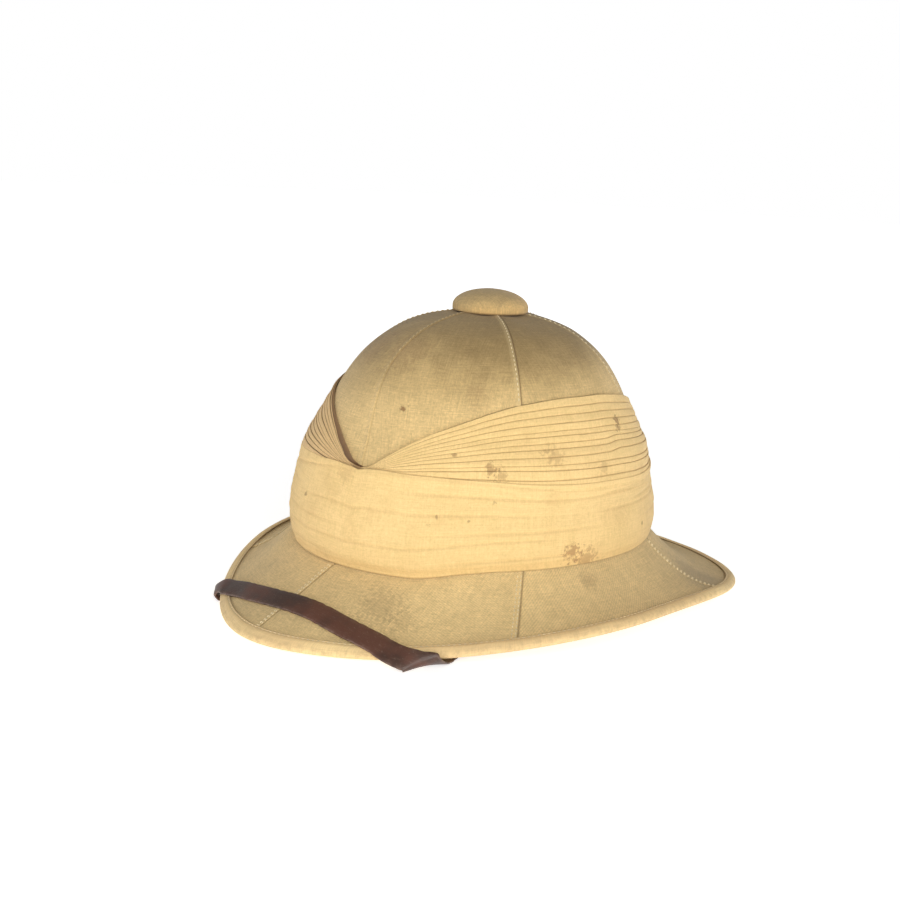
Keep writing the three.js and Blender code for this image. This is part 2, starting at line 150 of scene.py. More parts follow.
# ---- meshes -------------------------------------------------------------------------------------
@dataclass
class Cloth:
    """A grid surface: rows run one way and columns the other, with a cloth map and fields.

    Attributes:
        points: (rows, columns, 3) in millimetres, where a column for the full turn repeats column 0.
        across: (rows, columns) place along the weft in millimetres.
        along: (rows, columns) place along the warp in millimetres.
        round_columns: whether the last column is the first one again.
        round_rows: whether the rows close into a section with a wall.
        flip: turns the faces of an open sheet over; a closed one is turned outward by its volume.
        fields: named values at the points, for the materials.
        panels: width of a panel in columns' turn, or 0 where the cloth is in one piece.
    """

    points: Array
    across: Array
    along: Array
    round_columns: bool = True
    round_rows: bool = False
    flip: bool = False
    fields: dict[str, Array] = field(default_factory=dict)
    across_right: Array | None = None

    def piece(self, name: str) -> bpy.types.Object:
        """Make the object with its smooth faces, cloth map and fields.

        Args:
            name: the object's name.

        Returns:
            The new object, at the origin.
        """
        rows, columns = self.points.shape[:2]
        kept = columns - 1 if self.round_columns else columns
        low = np.arange(rows if self.round_rows else rows - 1)[:, None]
        left = np.arange(columns - 1)[None, :]
        high, right = (low + 1) % rows, (left + 1) % kept
        quads = np.stack(
            [low * kept + left, low * kept + right, high * kept + right, high * kept + left], -1
        )
        across_right = self.across if self.across_right is None else self.across_right
        u = np.stack(
            [self.across[low, left], across_right[low, left + 1],
             across_right[high, left + 1], self.across[high, left]], -1
        )
        v = np.stack(
            [self.along[low, left], self.along[low, left + 1],
             self.along[high, left + 1], self.along[high, left]], -1
        )
        place = self.points[:, :kept].reshape(-1, 3) * MM
        quads, map_uv = quads.reshape(-1, 4), np.stack([u, v], -1).reshape(-1, 4, 2)
        flip = self.flip
        if self.round_rows:
            a, b, c, d = (place[quads[:, k]] for k in range(4))
            flip = float((a * (np.cross(b, c) + np.cross(c, d))).sum()) < 0
        if flip:
            quads, map_uv = quads[:, ::-1], map_uv[:, ::-1]
        mesh = bpy.data.meshes.new(name)
        mesh.from_pydata(place, [], quads)
        layer = mesh.uv_layers.new(name="cloth")
        layer.data.foreach_set("uv", (map_uv * MM).astype(np.float32).ravel())
        for title, values in self.fields.items():
            channel = mesh.attributes.new(title, "FLOAT", "POINT")
            channel.data.foreach_set("value", values[:, :kept].astype(np.float32).ravel())
        mesh.polygons.foreach_set("use_smooth", np.ones(len(quads), bool))
        mesh.update()
        piece = bpy.data.objects.new(name, mesh)
        bpy.context.scene.collection.objects.link(piece)
        return piece


def close_poles(piece: bpy.types.Object) -> None:
    """Merge the points that lie on one another, such as a ring drawn in to a pole."""
    work = bmesh.new()
    work.from_mesh(piece.data)
    bmesh.ops.remove_doubles(work, verts=work.verts, dist=2e-6)
    work.to_mesh(piece.data)
    work.free()


def facing(surface: Surface, a: Array, b: Array) -> Array:
    """Unit normals of a surface from the cross product of its two small differences.

    Args:
        surface: gives points for the two parameters.
        a: first parameter.
        b: second parameter.

    Returns:
        The normals, d/da x d/db.
    """
    small = 1e-4
    da = surface(a + small, b) - surface(a - small, b)
    db = surface(a, b + small) - surface(a, b - small)
    normal = np.cross(da, db)
    return normal / np.maximum(np.linalg.norm(normal, axis=-1, keepdims=True), 1e-12)


def stitch_piece(name: str, middles: Array, along: Array, lift: Array, length: float,
                 radius: float) -> bpy.types.Object:
    """Rows of sewing stitches, each a short thread that bows out of the cloth and dips in again.

    A thread's point is middle + along*s*length/2 + lift*(rise*(1 - s^2)) plus a circle of a
    radius that closes towards both ends, for s from -1 to 1.

    Args:
        name: the object's name.
        middles: (n, 3) middle of each stitch on the cloth, in millimetres.
        along: (n, 3) unit direction of each stitch.
        lift: (n, 3) unit normal of the cloth.
        length: length of one stitch.
        radius: radius of the thread.

    Returns:
        The new object.
    """
    s = np.linspace(-1.0, 1.0, 5)
    phi = TURN * np.arange(5) / 5
    side = np.cross(along, lift)
    spine = (
        middles[:, None]
        + along[:, None] * (s * 0.5 * length)[None, :, None]
        + lift[:, None] * (1.5 * radius * (1 - s**2) - 0.6 * radius)[None, :, None]
    )
    thick = radius * np.sqrt(1.0 - 0.85 * s**4)
    ring = (np.cos(phi)[None, None, :, None] * side[:, None, None]
            + np.sin(phi)[None, None, :, None] * lift[:, None, None])
    points = spine[:, :, None] + ring * thick[None, :, None, None]
    count = len(middles)
    base = (np.arange(count) * 25)[:, None, None]
    i, j = np.arange(4)[None, :, None], np.arange(5)[None, None, :]
    k = (j + 1) % 5
    quads = np.stack([base + i * 5 + j, base + i * 5 + k, base + (i + 1) * 5 + k,
                      base + (i + 1) * 5 + j], -1).reshape(-1, 4)
    first = base[:, 0] + np.arange(5)[None, ::-1]
    last = base[:, 0] + 20 + np.arange(5)[None]
    faces = quads[:, ::-1].tolist() + first[:, ::-1].tolist() + last[:, ::-1].tolist()
    mesh = bpy.data.meshes.new(name)
    mesh.from_pydata(points.reshape(-1, 3) * MM, [], faces)
    mesh.polygons.foreach_set("use_smooth", np.ones(len(faces), bool))
    mesh.update()
    work = bmesh.new()
    work.from_mesh(mesh)
    bmesh.ops.recalc_face_normals(work, faces=work.faces)
    work.to_mesh(mesh)
    work.free()
    piece = bpy.data.objects.new(name, mesh)
    bpy.context.scene.collection.objects.link(piece)
    return piece


def sewn_row(surface: Surface, a: Array, b: Array, pitch: float) -> tuple[Array, Array, Array]:
    """Even places for stitches along a line drawn on a surface.

    Args:
        surface: gives points for the two parameters.
        a: first parameter along the line.
        b: second parameter along the line.
        pitch: distance from one stitch to the next.

    Returns:
        The middles, directions and normals of the stitches.
    """
    line = surface(a, b)
    run = np.concatenate([[0.0], np.cumsum(np.linalg.norm(np.diff(line, axis=0), axis=1))])
    places = np.arange(0.5 * pitch, run[-1], pitch)
    a_at, b_at = np.interp(places, run, a), np.interp(places, run, b)
    ahead = np.stack([np.interp(places + 0.3, run, line[:, k]) for k in range(3)], -1)
    behind = np.stack([np.interp(places - 0.3, run, line[:, k]) for k in range(3)], -1)
    way = ahead - behind
    way /= np.linalg.norm(way, axis=1, keepdims=True)
    return surface(a_at, b_at), way, facing(surface, a_at, b_at)


# ---- the helmet's curves ------------------------------------------------------------------------
@dataclass(frozen=True)
class Form:
    """Plan curves and heights that the helmet's cloth pieces share, in millimetres."""

    half_width: float = 139.3
    front_reach: float = 167.4
    back_reach: float = 180.1
    widest_y: float = -6.35
    front_point: float = 0.30
    back_fullness: float = 0.28
    side_height: float = 13.6
    binding: float = 5.0
    edge_gap: float = 1.3
    foot_front: float = 113.8
    foot_back: float = 115.0
    foot_width: float = 99.4
    foot_y: float = -0.45
    gather: float = np.radians(6.5)
    crown_z: tuple[float, ...] = (45.3, 55.4, 67.4, 79.4, 91.4, 103.4, 116.4, 128.4, 140.4, 150.4,
                                  158.4, 163.4, 166.0, 166.8)
    crown_length: tuple[float, ...] = (112.0, 111.3, 109.8, 107.2, 103.9, 99.5, 93.8, 87.0, 77.8,
                                       66.3, 52.6, 37.0, 21.0, 9.6)
    crown_width: tuple[float, ...] = (97.5, 96.9, 95.6, 93.3, 90.4, 86.6, 81.6, 75.8, 67.8, 57.7,
                                      45.8, 32.2, 18.3, 9.6)
    scarf_z: tuple[float, ...] = (32.4, 38.4, 48.4, 58.4, 68.4, 78.4, 90.4, 103.4, 116.4, 128.9)
    scarf_length: tuple[float, ...] = (115.2, 116.5, 117.8, 117.2, 115.2, 112.9, 109.6, 103.1,
                                       95.8, 88.0)
    scarf_aspect: float = 0.871
    edge_turn: tuple[float, ...] = (0, 4, 10, 17.5, 25, 35, 45, 56, 76, 91, 105, 120, 135, 150,
                                    163, 173, 180)
    edge_top: tuple[float, ...] = (88, 89.8, 96.4, 104.1, 110, 116, 121.2, 124.9, 127.4, 127.3,
                                   125.4, 121.8, 115.8, 107.8, 98.8, 90, 88)
    edge_low: tuple[float, ...] = (86, 87.4, 88.2, 87.7, 87.6, 87, 86.2, 84.6, 82.4, 81.4, 79.8,
                                   79, 80.4, 82.6, 84.6, 85.8, 86)
    foot_turn: tuple[float, ...] = (0, 27, 34, 42, 54, 80, 105, 130, 180)
    foot_z: tuple[float, ...] = (32.9, 32.9, 34.4, 36.8, 38.4, 38.4, 37.6, 38.2, 37.4)
    hollow_turn: tuple[float, ...] = (0, 20, 62, 120, 180)
    hollow_power: tuple[float, ...] = (1.0, 1.05, 1.6, 2.1, 2.1)

    def edge(self, turn: Array, inset: Array | float = 0.0) -> Array:
        """Plan of the bound edge, moved inward along its normal by inset.

        x = width * sin(1 - k cos^2) and y = widest - reach * cos, with k and reach of the half.
        """
        def curve(a: Array) -> Array:
            """Plan point of the outermost edge at a turn."""
            ahead = np.cos(a) > 0
            shape = np.where(ahead, self.front_point, -self.back_fullness)
            reach = np.where(ahead, self.front_reach, self.back_reach)
            return np.stack([self.half_width * np.sin(a) * (1 - shape * np.cos(a) ** 2),
                             self.widest_y - reach * np.cos(a)], -1)

        tangent = curve(turn + 1e-3) - curve(turn - 1e-3)
        tangent /= np.linalg.norm(tangent, axis=-1, keepdims=True)
        inward = np.stack([-tangent[..., 1], tangent[..., 0]], -1)
        return curve(turn) + inward * np.asarray(inset)[..., None]

    def edge_rise(self, turn: Array) -> Array:
        """Height of the underside of the bound edge: level fore and aft, raised at the sides."""
        ahead = np.cos(turn) > 0
        rest = np.where(ahead, 1.5, 0.0)
        flat = np.where(ahead, 0.40, 0.30)
        power = np.where(ahead, 2.7, 2.6)
        past = np.maximum(0.0, np.abs(np.sin(turn)) - flat) / (1 - flat)
        return rest + (self.side_height - rest) * past**power

    def foot(self, turn: Array) -> Array:
        """Plan of the line where the scarf's lower edge meets the brim, two half ellipses."""
        reach = np.where(np.cos(turn) > 0, self.foot_front, self.foot_back)
        return np.stack([self.foot_width * np.sin(turn), self.foot_y - reach * np.cos(turn)], -1)

    def foot_height(self, turn: Array) -> Array:
        """Height of the scarf's lower edge."""
        return smooth_reading(self.foot_turn, self.foot_z, from_front(turn))

    def centre_y(self, z: Array) -> Array:
        """Middle of a level section: the crown leans back a little as it rises."""
        rise = z - self.scarf_z[0]
        return -2.4 + 0.03 * rise + 2.0 * np.clip(rise / 134.4, 0, None) ** 12

    def crown(self, turn: Array, share: Array, offset: Array | float = 0.0) -> Array:
        """Point of the crown's cloth at a share of the way from its foot to the vent.

        Half length, half width and height are smooth functions of the run along the profile.
        """
        run = np.concatenate([[0], np.cumsum(np.hypot(np.diff(self.crown_length),
                                                      np.diff(self.crown_z)))])
        keys = run / run[-1]
        length = smooth_reading(keys, self.crown_length, share)
        width = smooth_reading(keys, self.crown_width, share)
        z = smooth_reading(keys, self.crown_z, share)
        slope_l = smooth_reading(keys, self.crown_length, share + 0.004) - smooth_reading(
            keys, self.crown_length, share - 0.004)
        slope_z = smooth_reading(keys, self.crown_z, share + 0.004) - smooth_reading(
            keys, self.crown_z, share - 0.004)
        size = np.maximum(np.hypot(slope_l, slope_z), 1e-9)
        out, up = slope_z / size, -slope_l / size
        reach, sideways = length + offset * out, width + offset * out
        return np.stack([sideways * np.sin(turn), self.centre_y(z) - reach * np.cos(turn),
                         z + offset * up], -1)

    def crown_share(self, z: float) -> float:
        """Share of the crown's profile at a height."""
        run = np.concatenate([[0], np.cumsum(np.hypot(np.diff(self.crown_length),
                                                      np.diff(self.crown_z)))])
        return float(np.interp(z, self.crown_z, run / run[-1]))

    def scarf(self, turn: Array, z: Array, offset: Array | float = 0.0) -> Array:
        """Point on the outside of the scarf, moved out level by offset."""
        length = smooth_reading(self.scarf_z, self.scarf_length, z)
        return np.stack([(self.scarf_aspect * length + offset) * np.sin(turn),
                         self.centre_y(z) - (length + offset) * np.cos(turn), z], -1)

    def from_gather(self, turn: Array) -> Array:
        """Way from the front gather to the back one on either side, 0 to 180."""
        offset = np.degrees(away(turn, self.gather))
        half = np.where(offset > 0, 180 - np.degrees(self.gather), 180 + np.degrees(self.gather))
        return np.minimum(180.0, 180 * np.abs(offset) / half)

    def pinch(self, turn: Array) -> Array:
        """How far the scarf is drawn in at its two gathers: a bell curve at each."""
        front = np.exp(-(away(turn, self.gather) / np.radians(5.0)) ** 2)
        back = np.exp(-(away(turn, np.pi) / np.radians(5.0)) ** 2)
        return -1.5 * (front + back)

    def crown_at(self, turn: Array, z: Array, offset: float) -> Array:
        """Point on the crown's cloth at a height, moved out by offset."""
        share = np.linspace(0.0, 1.0, 400)
        heights = self.crown(np.zeros_like(share), share)[:, 2]
        return self.crown(turn, np.interp(z, heights, share), offset)

    def fan_top(self, turn: Array) -> Array:
        """Height of the scarf's upper edge."""
        return smooth_reading(self.edge_turn, self.edge_top, self.from_gather(turn))

    def fan_low(self, turn: Array) -> Array:
        """Height of the line below the pleats."""
        return smooth_reading(self.edge_turn, self.edge_low, self.from_gather(turn))

    def brim(self, turn: Array, reach: Array) -> Array:
        """Upper surface of the brim: reach 0 at the scarf's foot and 1 at the end of its wall.

        The height falls from the foot to the edge as (1 - reach) to a power that grows from a
        straight slope in front to a hollow one behind.
        """
        reach_plan = np.asarray(reach)[..., None]
        plan = self.foot(turn) * (1 - reach_plan) + self.edge(turn, self.edge_gap) * reach_plan
        low = self.edge_rise(turn) + self.binding - self.edge_gap
        power = smooth_reading(self.hollow_turn, self.hollow_power, from_front(turn))
        fall = np.sign(1 - reach) * np.abs(1 - reach) ** power
        z = low + (self.foot_height(turn) - 0.2 - low) * fall
        return np.concatenate([plan, z[..., None]], -1)

    def brim_breadth(self, turn: Array) -> Array:
        """Level distance from the scarf's foot to the end of the brim's wall."""
        return np.linalg.norm(self.foot(turn) - self.edge(turn, self.edge_gap), axis=-1)


FORM = Form()
PANEL = TURN / 6


def seam_turns(per_panel: int) -> Array:
    """Turns for the columns round the hat, set close together beside the six seams."""
    close = np.radians([-3.0, -2.5, -2.05, -1.7, -1.35, -1.0, -0.6, -0.25, -0.08, 0.0, 0.08, 0.25,
                        0.6, 1.2])
    wide = np.linspace(np.radians(2.2), PANEL - np.radians(3.8), per_panel)
    one = np.concatenate([close, wide])
    turns = (one[None, :] + PANEL * np.arange(6)[:, None]).ravel()
    return np.append(turns, turns[0] + TURN)


def seam_fields(turn: Array, radius: Array) -> tuple[Array, Array]:
    """Signed distance to the nearest seam in millimetres, and a lapped seam's height.

    Args:
        turn: turn round the hat, unbent by any lean of a seam.
        radius: plan radius there.

    Returns:
        The distance, positive towards greater turns, and the share of the seam's height: 1 on the
        folded strip, falling softly on its far side and at once at the seam line.
    """
    distance = away(turn * 6, 0.0) / 6 * radius
    strip = ease(-3.3, -2.3, distance) * (1 - ease(-0.16, 0.02, distance))
    groove = np.exp(-((distance - 0.15) / 0.22) ** 2)
    return distance, strip - 0.5 * groove


# ---- shader pieces ------------------------------------------------------------------------------
def place_node(tree: bpy.types.NodeTree, kind: str, wires: dict | None = None,
               **settings: object) -> bpy.types.Node:
    """Add one node to a tree.

    Args:
        tree: the material's or group's tree.
        kind: type of node, without the ShaderNode in front.
        wires: input name or number to a socket to join or a constant to set.
        settings: properties of the node.

    Returns:
        The node.
    """
    node = tree.nodes.new(kind if kind.startswith("Node") else "ShaderNode" + kind)
    for name, value in settings.items():
        setattr(node, name, value)
    for key, value in (wires or {}).items():
        if isinstance(value, bpy.types.NodeSocket):
            tree.links.new(value, node.inputs[key])
        else:
            node.inputs[key].default_value = value
    return node


def calc(tree: bpy.types.NodeTree, sum_: str, *values: object,
         clamp: bool = False) -> bpy.types.NodeSocket:
    """One Math node; values are sockets or numbers. Returns its output."""
    return place_node(tree, "Math", dict(enumerate(values)), operation=sum_,
                      use_clamp=clamp).outputs[0]


def spread(tree: bpy.types.NodeTree, value: object, low: float, high: float, to_low: float = 0.0,
           to_high: float = 1.0, soft: bool = True) -> bpy.types.NodeSocket:
    """Map Range from low..high to to_low..to_high, clamped. Returns its output."""
    kind = "SMOOTHSTEP" if soft else "LINEAR"
    return place_node(tree, "MapRange", {0: value, 1: low, 2: high, 3: to_low, 4: to_high},
                      interpolation_type=kind).outputs[0]


def blend(tree: bpy.types.NodeTree, share: object, first: object, second: object,
          way: str = "MIX") -> bpy.types.NodeSocket:
    """Mix two colours. Returns the result socket."""
    return place_node(tree, "Mix", {0: share, 6: first, 7: second}, data_type="RGBA",
                      blend_type=way).outputs[2]


def noise(tree: bpy.types.NodeTree, where: object, scale: object, detail: float = 3.0,
          rough: float = 0.5) -> bpy.types.NodeSocket:
    """Noise between 0 and 1 at a scale per metre. Returns its value."""
    return place_node(tree, "TexNoise", {"Vector": where, "Scale": scale, "Detail": detail,
                                         "Roughness": rough}).outputs[0]


def stretch(tree: bpy.types.NodeTree, where: object, x: float, y: float,
            z: float = 1.0) -> bpy.types.NodeSocket:
    """Scale a place by three numbers. Returns the scaled vector."""
    return place_node(tree, "VectorMath", {0: where, 1: (x, y, z)}, operation="MULTIPLY").outputs[0]


def new_group(name: str, inputs: dict[str, tuple[str, object]], outputs: dict[str, str]
              ) -> tuple[bpy.types.NodeTree, bpy.types.Node, bpy.types.Node]:
    """Start a shader node group with named sockets.

    Args:
        name: the group's name.
        inputs: socket name to its kind and value.
        outputs: socket name to its kind.

    Returns:
        The tree, its input node and its output node.
    """
    tree = bpy.data.node_groups.new(name, "ShaderNodeTree")
    for title, (kind, value) in inputs.items():
        socket = tree.interface.new_socket(title, in_out="INPUT", socket_type="NodeSocket" + kind)
        socket.default_value = value
    for title, kind in outputs.items():
        tree.interface.new_socket(title, in_out="OUTPUT", socket_type="NodeSocket" + kind)
    return tree, tree.nodes.new("NodeGroupInput"), tree.nodes.new("NodeGroupOutput")


class Effects:
    """Node groups that several finishes share; each is built once."""

    def __init__(self) -> None:
        """Build the four groups."""
        self.weave = self.build_weave()
        self.soiling = self.build_soiling()
        self.spot = self.build_spot()
        self.rub = self.build_rub()

    def build_weave(self) -> bpy.types.NodeTree:
        """Woven threads on a cloth map in metres.

        Plain weave is sin(u) * sin(v), twill is sin(u + v), and slubs are noise drawn out along
        the weft and along the warp.
        """
        tree, given, out = new_group(
            "woven_threads",
            {"Cloth": ("Vector", (0, 0, 0)), "Pitch": ("Float", 0.0006), "Twill": ("Float", 0.0),
             "Slub": ("Float", 0.5)},
            {"Height": "Float", "Thread": "Float"})
        cloth, pitch = given.outputs["Cloth"], given.outputs["Pitch"]
        parts = place_node(tree, "SeparateXYZ", {0: cloth})
        beat = calc(tree, "DIVIDE", TURN, pitch)
        u = calc(tree, "MULTIPLY", parts.outputs[0], beat)
        v = calc(tree, "MULTIPLY", parts.outputs[1], beat)
        plain = calc(tree, "MULTIPLY", calc(tree, "SINE", u), calc(tree, "SINE", v))
        twill = calc(tree, "SINE", calc(tree, "ADD", u, v))
        share = given.outputs["Twill"]
        weave = calc(tree, "ADD", calc(tree, "MULTIPLY", plain, calc(tree, "SUBTRACT", 1.0, share)),
                     calc(tree, "MULTIPLY", twill, share))
        weft = noise(tree, stretch(tree, cloth, 1.0, 22.0), 75.0, 2.0)
        warp = noise(tree, stretch(tree, cloth, 22.0, 1.0), 75.0, 2.0)
        thread = calc(tree, "SUBTRACT", calc(tree, "ADD", weft, warp), 1.0)
        slub = calc(tree, "MULTIPLY", thread, given.outputs["Slub"])
        height = calc(tree, "ADD", calc(tree, "MULTIPLY", weave, 0.25),
                      calc(tree, "MULTIPLY", slub, 1.6))
        tree.links.new(height, out.inputs["Height"])
        tree.links.new(thread, out.inputs["Thread"])
        return tree

    def build_soiling(self) -> bpy.types.NodeTree:
        """Broad clouds of dust and handling, and sparse small specks."""
        tree, given, out = new_group(
            "soiling", {"Place": ("Vector", (0, 0, 0)), "Seed": ("Vector", (0, 0, 0))},
            {"Cloud": "Float", "Speck": "Float"})
        place = place_node(tree, "VectorMath", {0: given.outputs["Place"], 1: given.outputs["Seed"]},
                           operation="ADD").outputs[0]
        cloud = spread(tree, noise(tree, place, 16.0, 5.0, 0.62), 0.34, 0.68)
        speck = calc(tree, "MULTIPLY",
                     spread(tree, noise(tree, place, 210.0, 2.0), 0.72, 0.80),
                     spread(tree, noise(tree, place, 30.0, 1.0), 0.50, 0.62))
        tree.links.new(cloud, out.inputs["Cloud"])
        tree.links.new(speck, out.inputs["Speck"])
        return tree

    def build_spot(self) -> bpy.types.NodeTree:
        """One ragged spot, a stain and in two places painted shade: distance from its centre, broken by
        noise, falls to 0 at its radius.
        """
        tree, given, out = new_group(
            "stain_spot",
            {"Place": ("Vector", (0, 0, 0)), "Centre": ("Vector", (0, 0, 0)),
             "Radius": ("Float", 0.004), "Ragged": ("Float", 0.6)},
            {"Mask": "Float"})
        place = given.outputs["Place"]
        gap = place_node(tree, "VectorMath", {0: place, 1: given.outputs["Centre"]},
                         operation="DISTANCE").outputs["Value"]
        share = calc(tree, "DIVIDE", gap, given.outputs["Radius"])
        broken = calc(tree, "SUBTRACT", noise(tree, place, 420.0, 4.0, 0.65), 0.5)
        rough = calc(tree, "MULTIPLY", calc(tree, "MULTIPLY", broken, given.outputs["Ragged"]), 4.5)
        mask = spread(tree, calc(tree, "ADD", share, rough), 1.0, 0.35)
        tree.links.new(mask, out.inputs["Mask"])
        return tree

    def build_rub(self) -> bpy.types.NodeTree:
        """Wear where a field says that the surface stands out, broken up by noise."""
        tree, given, out = new_group(
            "rubbed_edge",
            {"Edge": ("Float", 0.0), "Place": ("Vector", (0, 0, 0)), "Amount": ("Float", 1.0)},
            {"Mask": "Float"})
        broken = noise(tree, given.outputs["Place"], 260.0, 5.0, 0.7)
        value = calc(tree, "MULTIPLY", given.outputs["Edge"],
                     calc(tree, "MULTIPLY", spread(tree, broken, 0.40, 0.66), given.outputs["Amount"]))
        tree.links.new(calc(tree, "MINIMUM", value, 1.0), out.inputs["Mask"])
        return tree


@dataclass(frozen=True)
class StainAndShade:
    """A mark on the cloth, mostly a stain and in two places a painted shadow: where it is, how wide,
    how dark, in millimetres.

    Attributes:
        centre: middle of the mark.
        radius: half its width.
        strength: how far it takes the cloth's colour to its own.
        color: colour of the mark.
        ragged: how broken its outline is.
    """

    centre: tuple[float, float, float]
    radius: float
    strength: float
    color: tuple[float, float, float] = (0.23, 0.11, 0.045)
    ragged: float = 0.6


class Dresser:
    """Starts a material and adds the effects that most finishes use."""

    def __init__(self, name: str, effects: Effects) -> None:
        """Make an empty node material with a Principled BSDF.

        Args:
            name: the material's name.
            effects: the shared groups.
        """
        self.material = bpy.data.materials.new(name)
        self.material.use_nodes = True
        self.tree = self.material.node_tree
        self.effects = effects
        self.shader = self.tree.nodes["Principled BSDF"]
        coordinates = place_node(self.tree, "TexCoord")
        self.place = coordinates.outputs["Object"]
        self.height_z = place_node(self.tree, "SeparateXYZ", {0: self.place}).outputs[2]
        self.cloth = place_node(self.tree, "UVMap", uv_map="cloth").outputs[0]

    def grouped(self, group: bpy.types.NodeTree, wires: dict) -> bpy.types.Node:
        """Place a shared group with its own values."""
        node = place_node(self.tree, "Group")
        node.node_tree = group
        for key, value in wires.items():
            if isinstance(value, bpy.types.NodeSocket):
                self.tree.links.new(value, node.inputs[key])
            else:
                node.inputs[key].default_value = value
        return node

    def value_of(self, title: str) -> bpy.types.NodeSocket:
        """Read a named field of the piece."""
        return place_node(self.tree, "Attribute", attribute_name=title).outputs["Fac"]

    def stained_and_shaded(self, color: object, stains_and_shade: Sequence[StainAndShade]) -> bpy.types.NodeSocket:
        """Lay each stain and painted shadow mark over a colour in turn. Returns the marked colour."""
        for stain_and_shade in stains_and_shade:
            spot = self.grouped(self.effects.spot, {
                "Place": self.place, "Centre": tuple(c * MM for c in stain_and_shade.centre),
                "Radius": stain_and_shade.radius * MM, "Ragged": stain_and_shade.ragged})
            share = calc(self.tree, "MULTIPLY", spot.outputs[0], stain_and_shade.strength)
            color = blend(self.tree, share, color, (*stain_and_shade.color, 1.0))
        return color

    def finish(self, color: object, roughness: object, height: object, depth: float,
               strength: float, **constants: float) -> bpy.types.Material:
        """Join the colour, roughness and bump to the shader.

        Args:
            color: colour socket.
            roughness: roughness socket or number.
            height: bump height socket.
            depth: distance of the bump in metres.
            strength: strength of the bump.
            constants: other shader inputs, set on its own sockets.

        Returns:
            The finished material.
        """
        bump = place_node(self.tree, "Bump", {"Height": height, "Distance": depth,
                                              "Strength": strength})
        self.tree.links.new(color, self.shader.inputs["Base Color"])
        if isinstance(roughness, bpy.types.NodeSocket):
            self.tree.links.new(roughness, self.shader.inputs["Roughness"])
        else:
            self.shader.inputs["Roughness"].default_value = roughness
        self.tree.links.new(bump.outputs[0], self.shader.inputs["Normal"])
        for name, value in constants.items():
            self.shader.inputs[name.replace("_", " ")].default_value = value
        return self.material


@dataclass(frozen=True)
class Canvas:
    """Khaki cotton canvas, dusty, and darker towards the top, where sun browning and painted shade are
    laid in as one height gradient.

    Attributes:
        name: the material's name.
        light: colour of the clean cloth.
        dark: colour at the top, browned cloth and painted shade together.
        brown_and_shade_from: height in millimetres at which the browning and painted shade start.
        brown_and_shade_full: height at which they are complete.
        pitch: distance between threads, in millimetres.
        twill: share of diagonal ribs in the weave.
        seed: place of this piece's clouds.
        stains_and_shade: stains on it, and marks of painted shade.
    """

    name: str
    light: tuple[float, float, float] = (0.75, 0.54, 0.248)
    dark: tuple[float, float, float] = (0.36, 0.245, 0.10)
    brown_and_shade_from: float = 122.0
    brown_and_shade_full: float = 168.0
    pitch: float = 0.85
    twill: float = 0.15
    seed: float = 0.0
    stains_and_shade: tuple[StainAndShade, ...] = ()

    def build(self, effects: Effects) -> bpy.types.Material:
        """Make the material."""
        dress = Dresser(self.name, effects)
        tree = dress.tree
        weave = dress.grouped(effects.weave, {"Cloth": dress.cloth, "Pitch": self.pitch * MM,
                                              "Twill": self.twill, "Slub": 0.35})
        soil = dress.grouped(effects.soiling, {"Place": dress.place,
                                               "Seed": (self.seed, 0.3 * self.seed, 0.0)})
        # Painted shade and real browning together: towards the top the colour goes to dark, for the
        # sun-browned cloth and the shade on the upper crown and the cap's top.
        rise = spread(tree, calc(tree, "ADD", dress.height_z,
                                 calc(tree, "MULTIPLY", soil.outputs[0], 0.012)),
                      self.brown_and_shade_from * MM, self.brown_and_shade_full * MM)
        color = blend(tree, rise, (*self.light, 1.0), (*self.dark, 1.0))
        cloud = spread(tree, soil.outputs[0], 0.0, 1.0, 1.04, 0.93, soft=False)
        fine = spread(tree, noise(tree, dress.place, 120.0, 4.0, 0.7), 0.25, 0.75, 0.93, 1.07, False)
        grit = spread(tree, noise(tree, dress.place, 760.0, 3.0, 0.7), 0.30, 0.70, 0.86, 1.12, False)
        fine = calc(tree, "MULTIPLY", fine, grit)
        thread = spread(tree, weave.outputs["Thread"], -0.35, 0.35, 0.88, 1.12, False)
        ribs = spread(tree, weave.outputs["Height"], -0.35, 0.35, 0.88, 1.06, False)
        tone = calc(tree, "MULTIPLY", calc(tree, "MULTIPLY", cloud, fine),
                    calc(tree, "MULTIPLY", thread, ribs))
        tint = place_node(tree, "CombineColor", {0: tone, 1: tone, 2: tone}).outputs[0]
        color = blend(tree, 1.0, color, tint, "MULTIPLY")
        seam = dress.value_of("seam")
        strip = dress.value_of("strip")
        color = blend(tree, calc(tree, "MULTIPLY", strip, 0.22), color, (0.84, 0.66, 0.36, 1.0))
        # The seam value darkens the seam lines of crown and brim; on the vent cap it is painted shadow
        # under the lip.
        color = blend(tree, calc(tree, "MULTIPLY", seam, 0.72), color, (0.15, 0.085, 0.035, 1.0))
        color = blend(tree, calc(tree, "MULTIPLY", soil.outputs[1], 0.35), color,
                      (0.19, 0.11, 0.05, 1.0))
        color = dress.stained_and_shaded(color, self.stains_and_shade)
        rough = spread(tree, soil.outputs[0], 0.0, 1.0, 0.86, 0.97, False)
        return dress.finish(color, rough, weave.outputs["Height"], 0.00022, 0.75,
                            Sheen_Weight=0.12, Sheen_Roughness=0.6, Specular_IOR_Level=0.18)


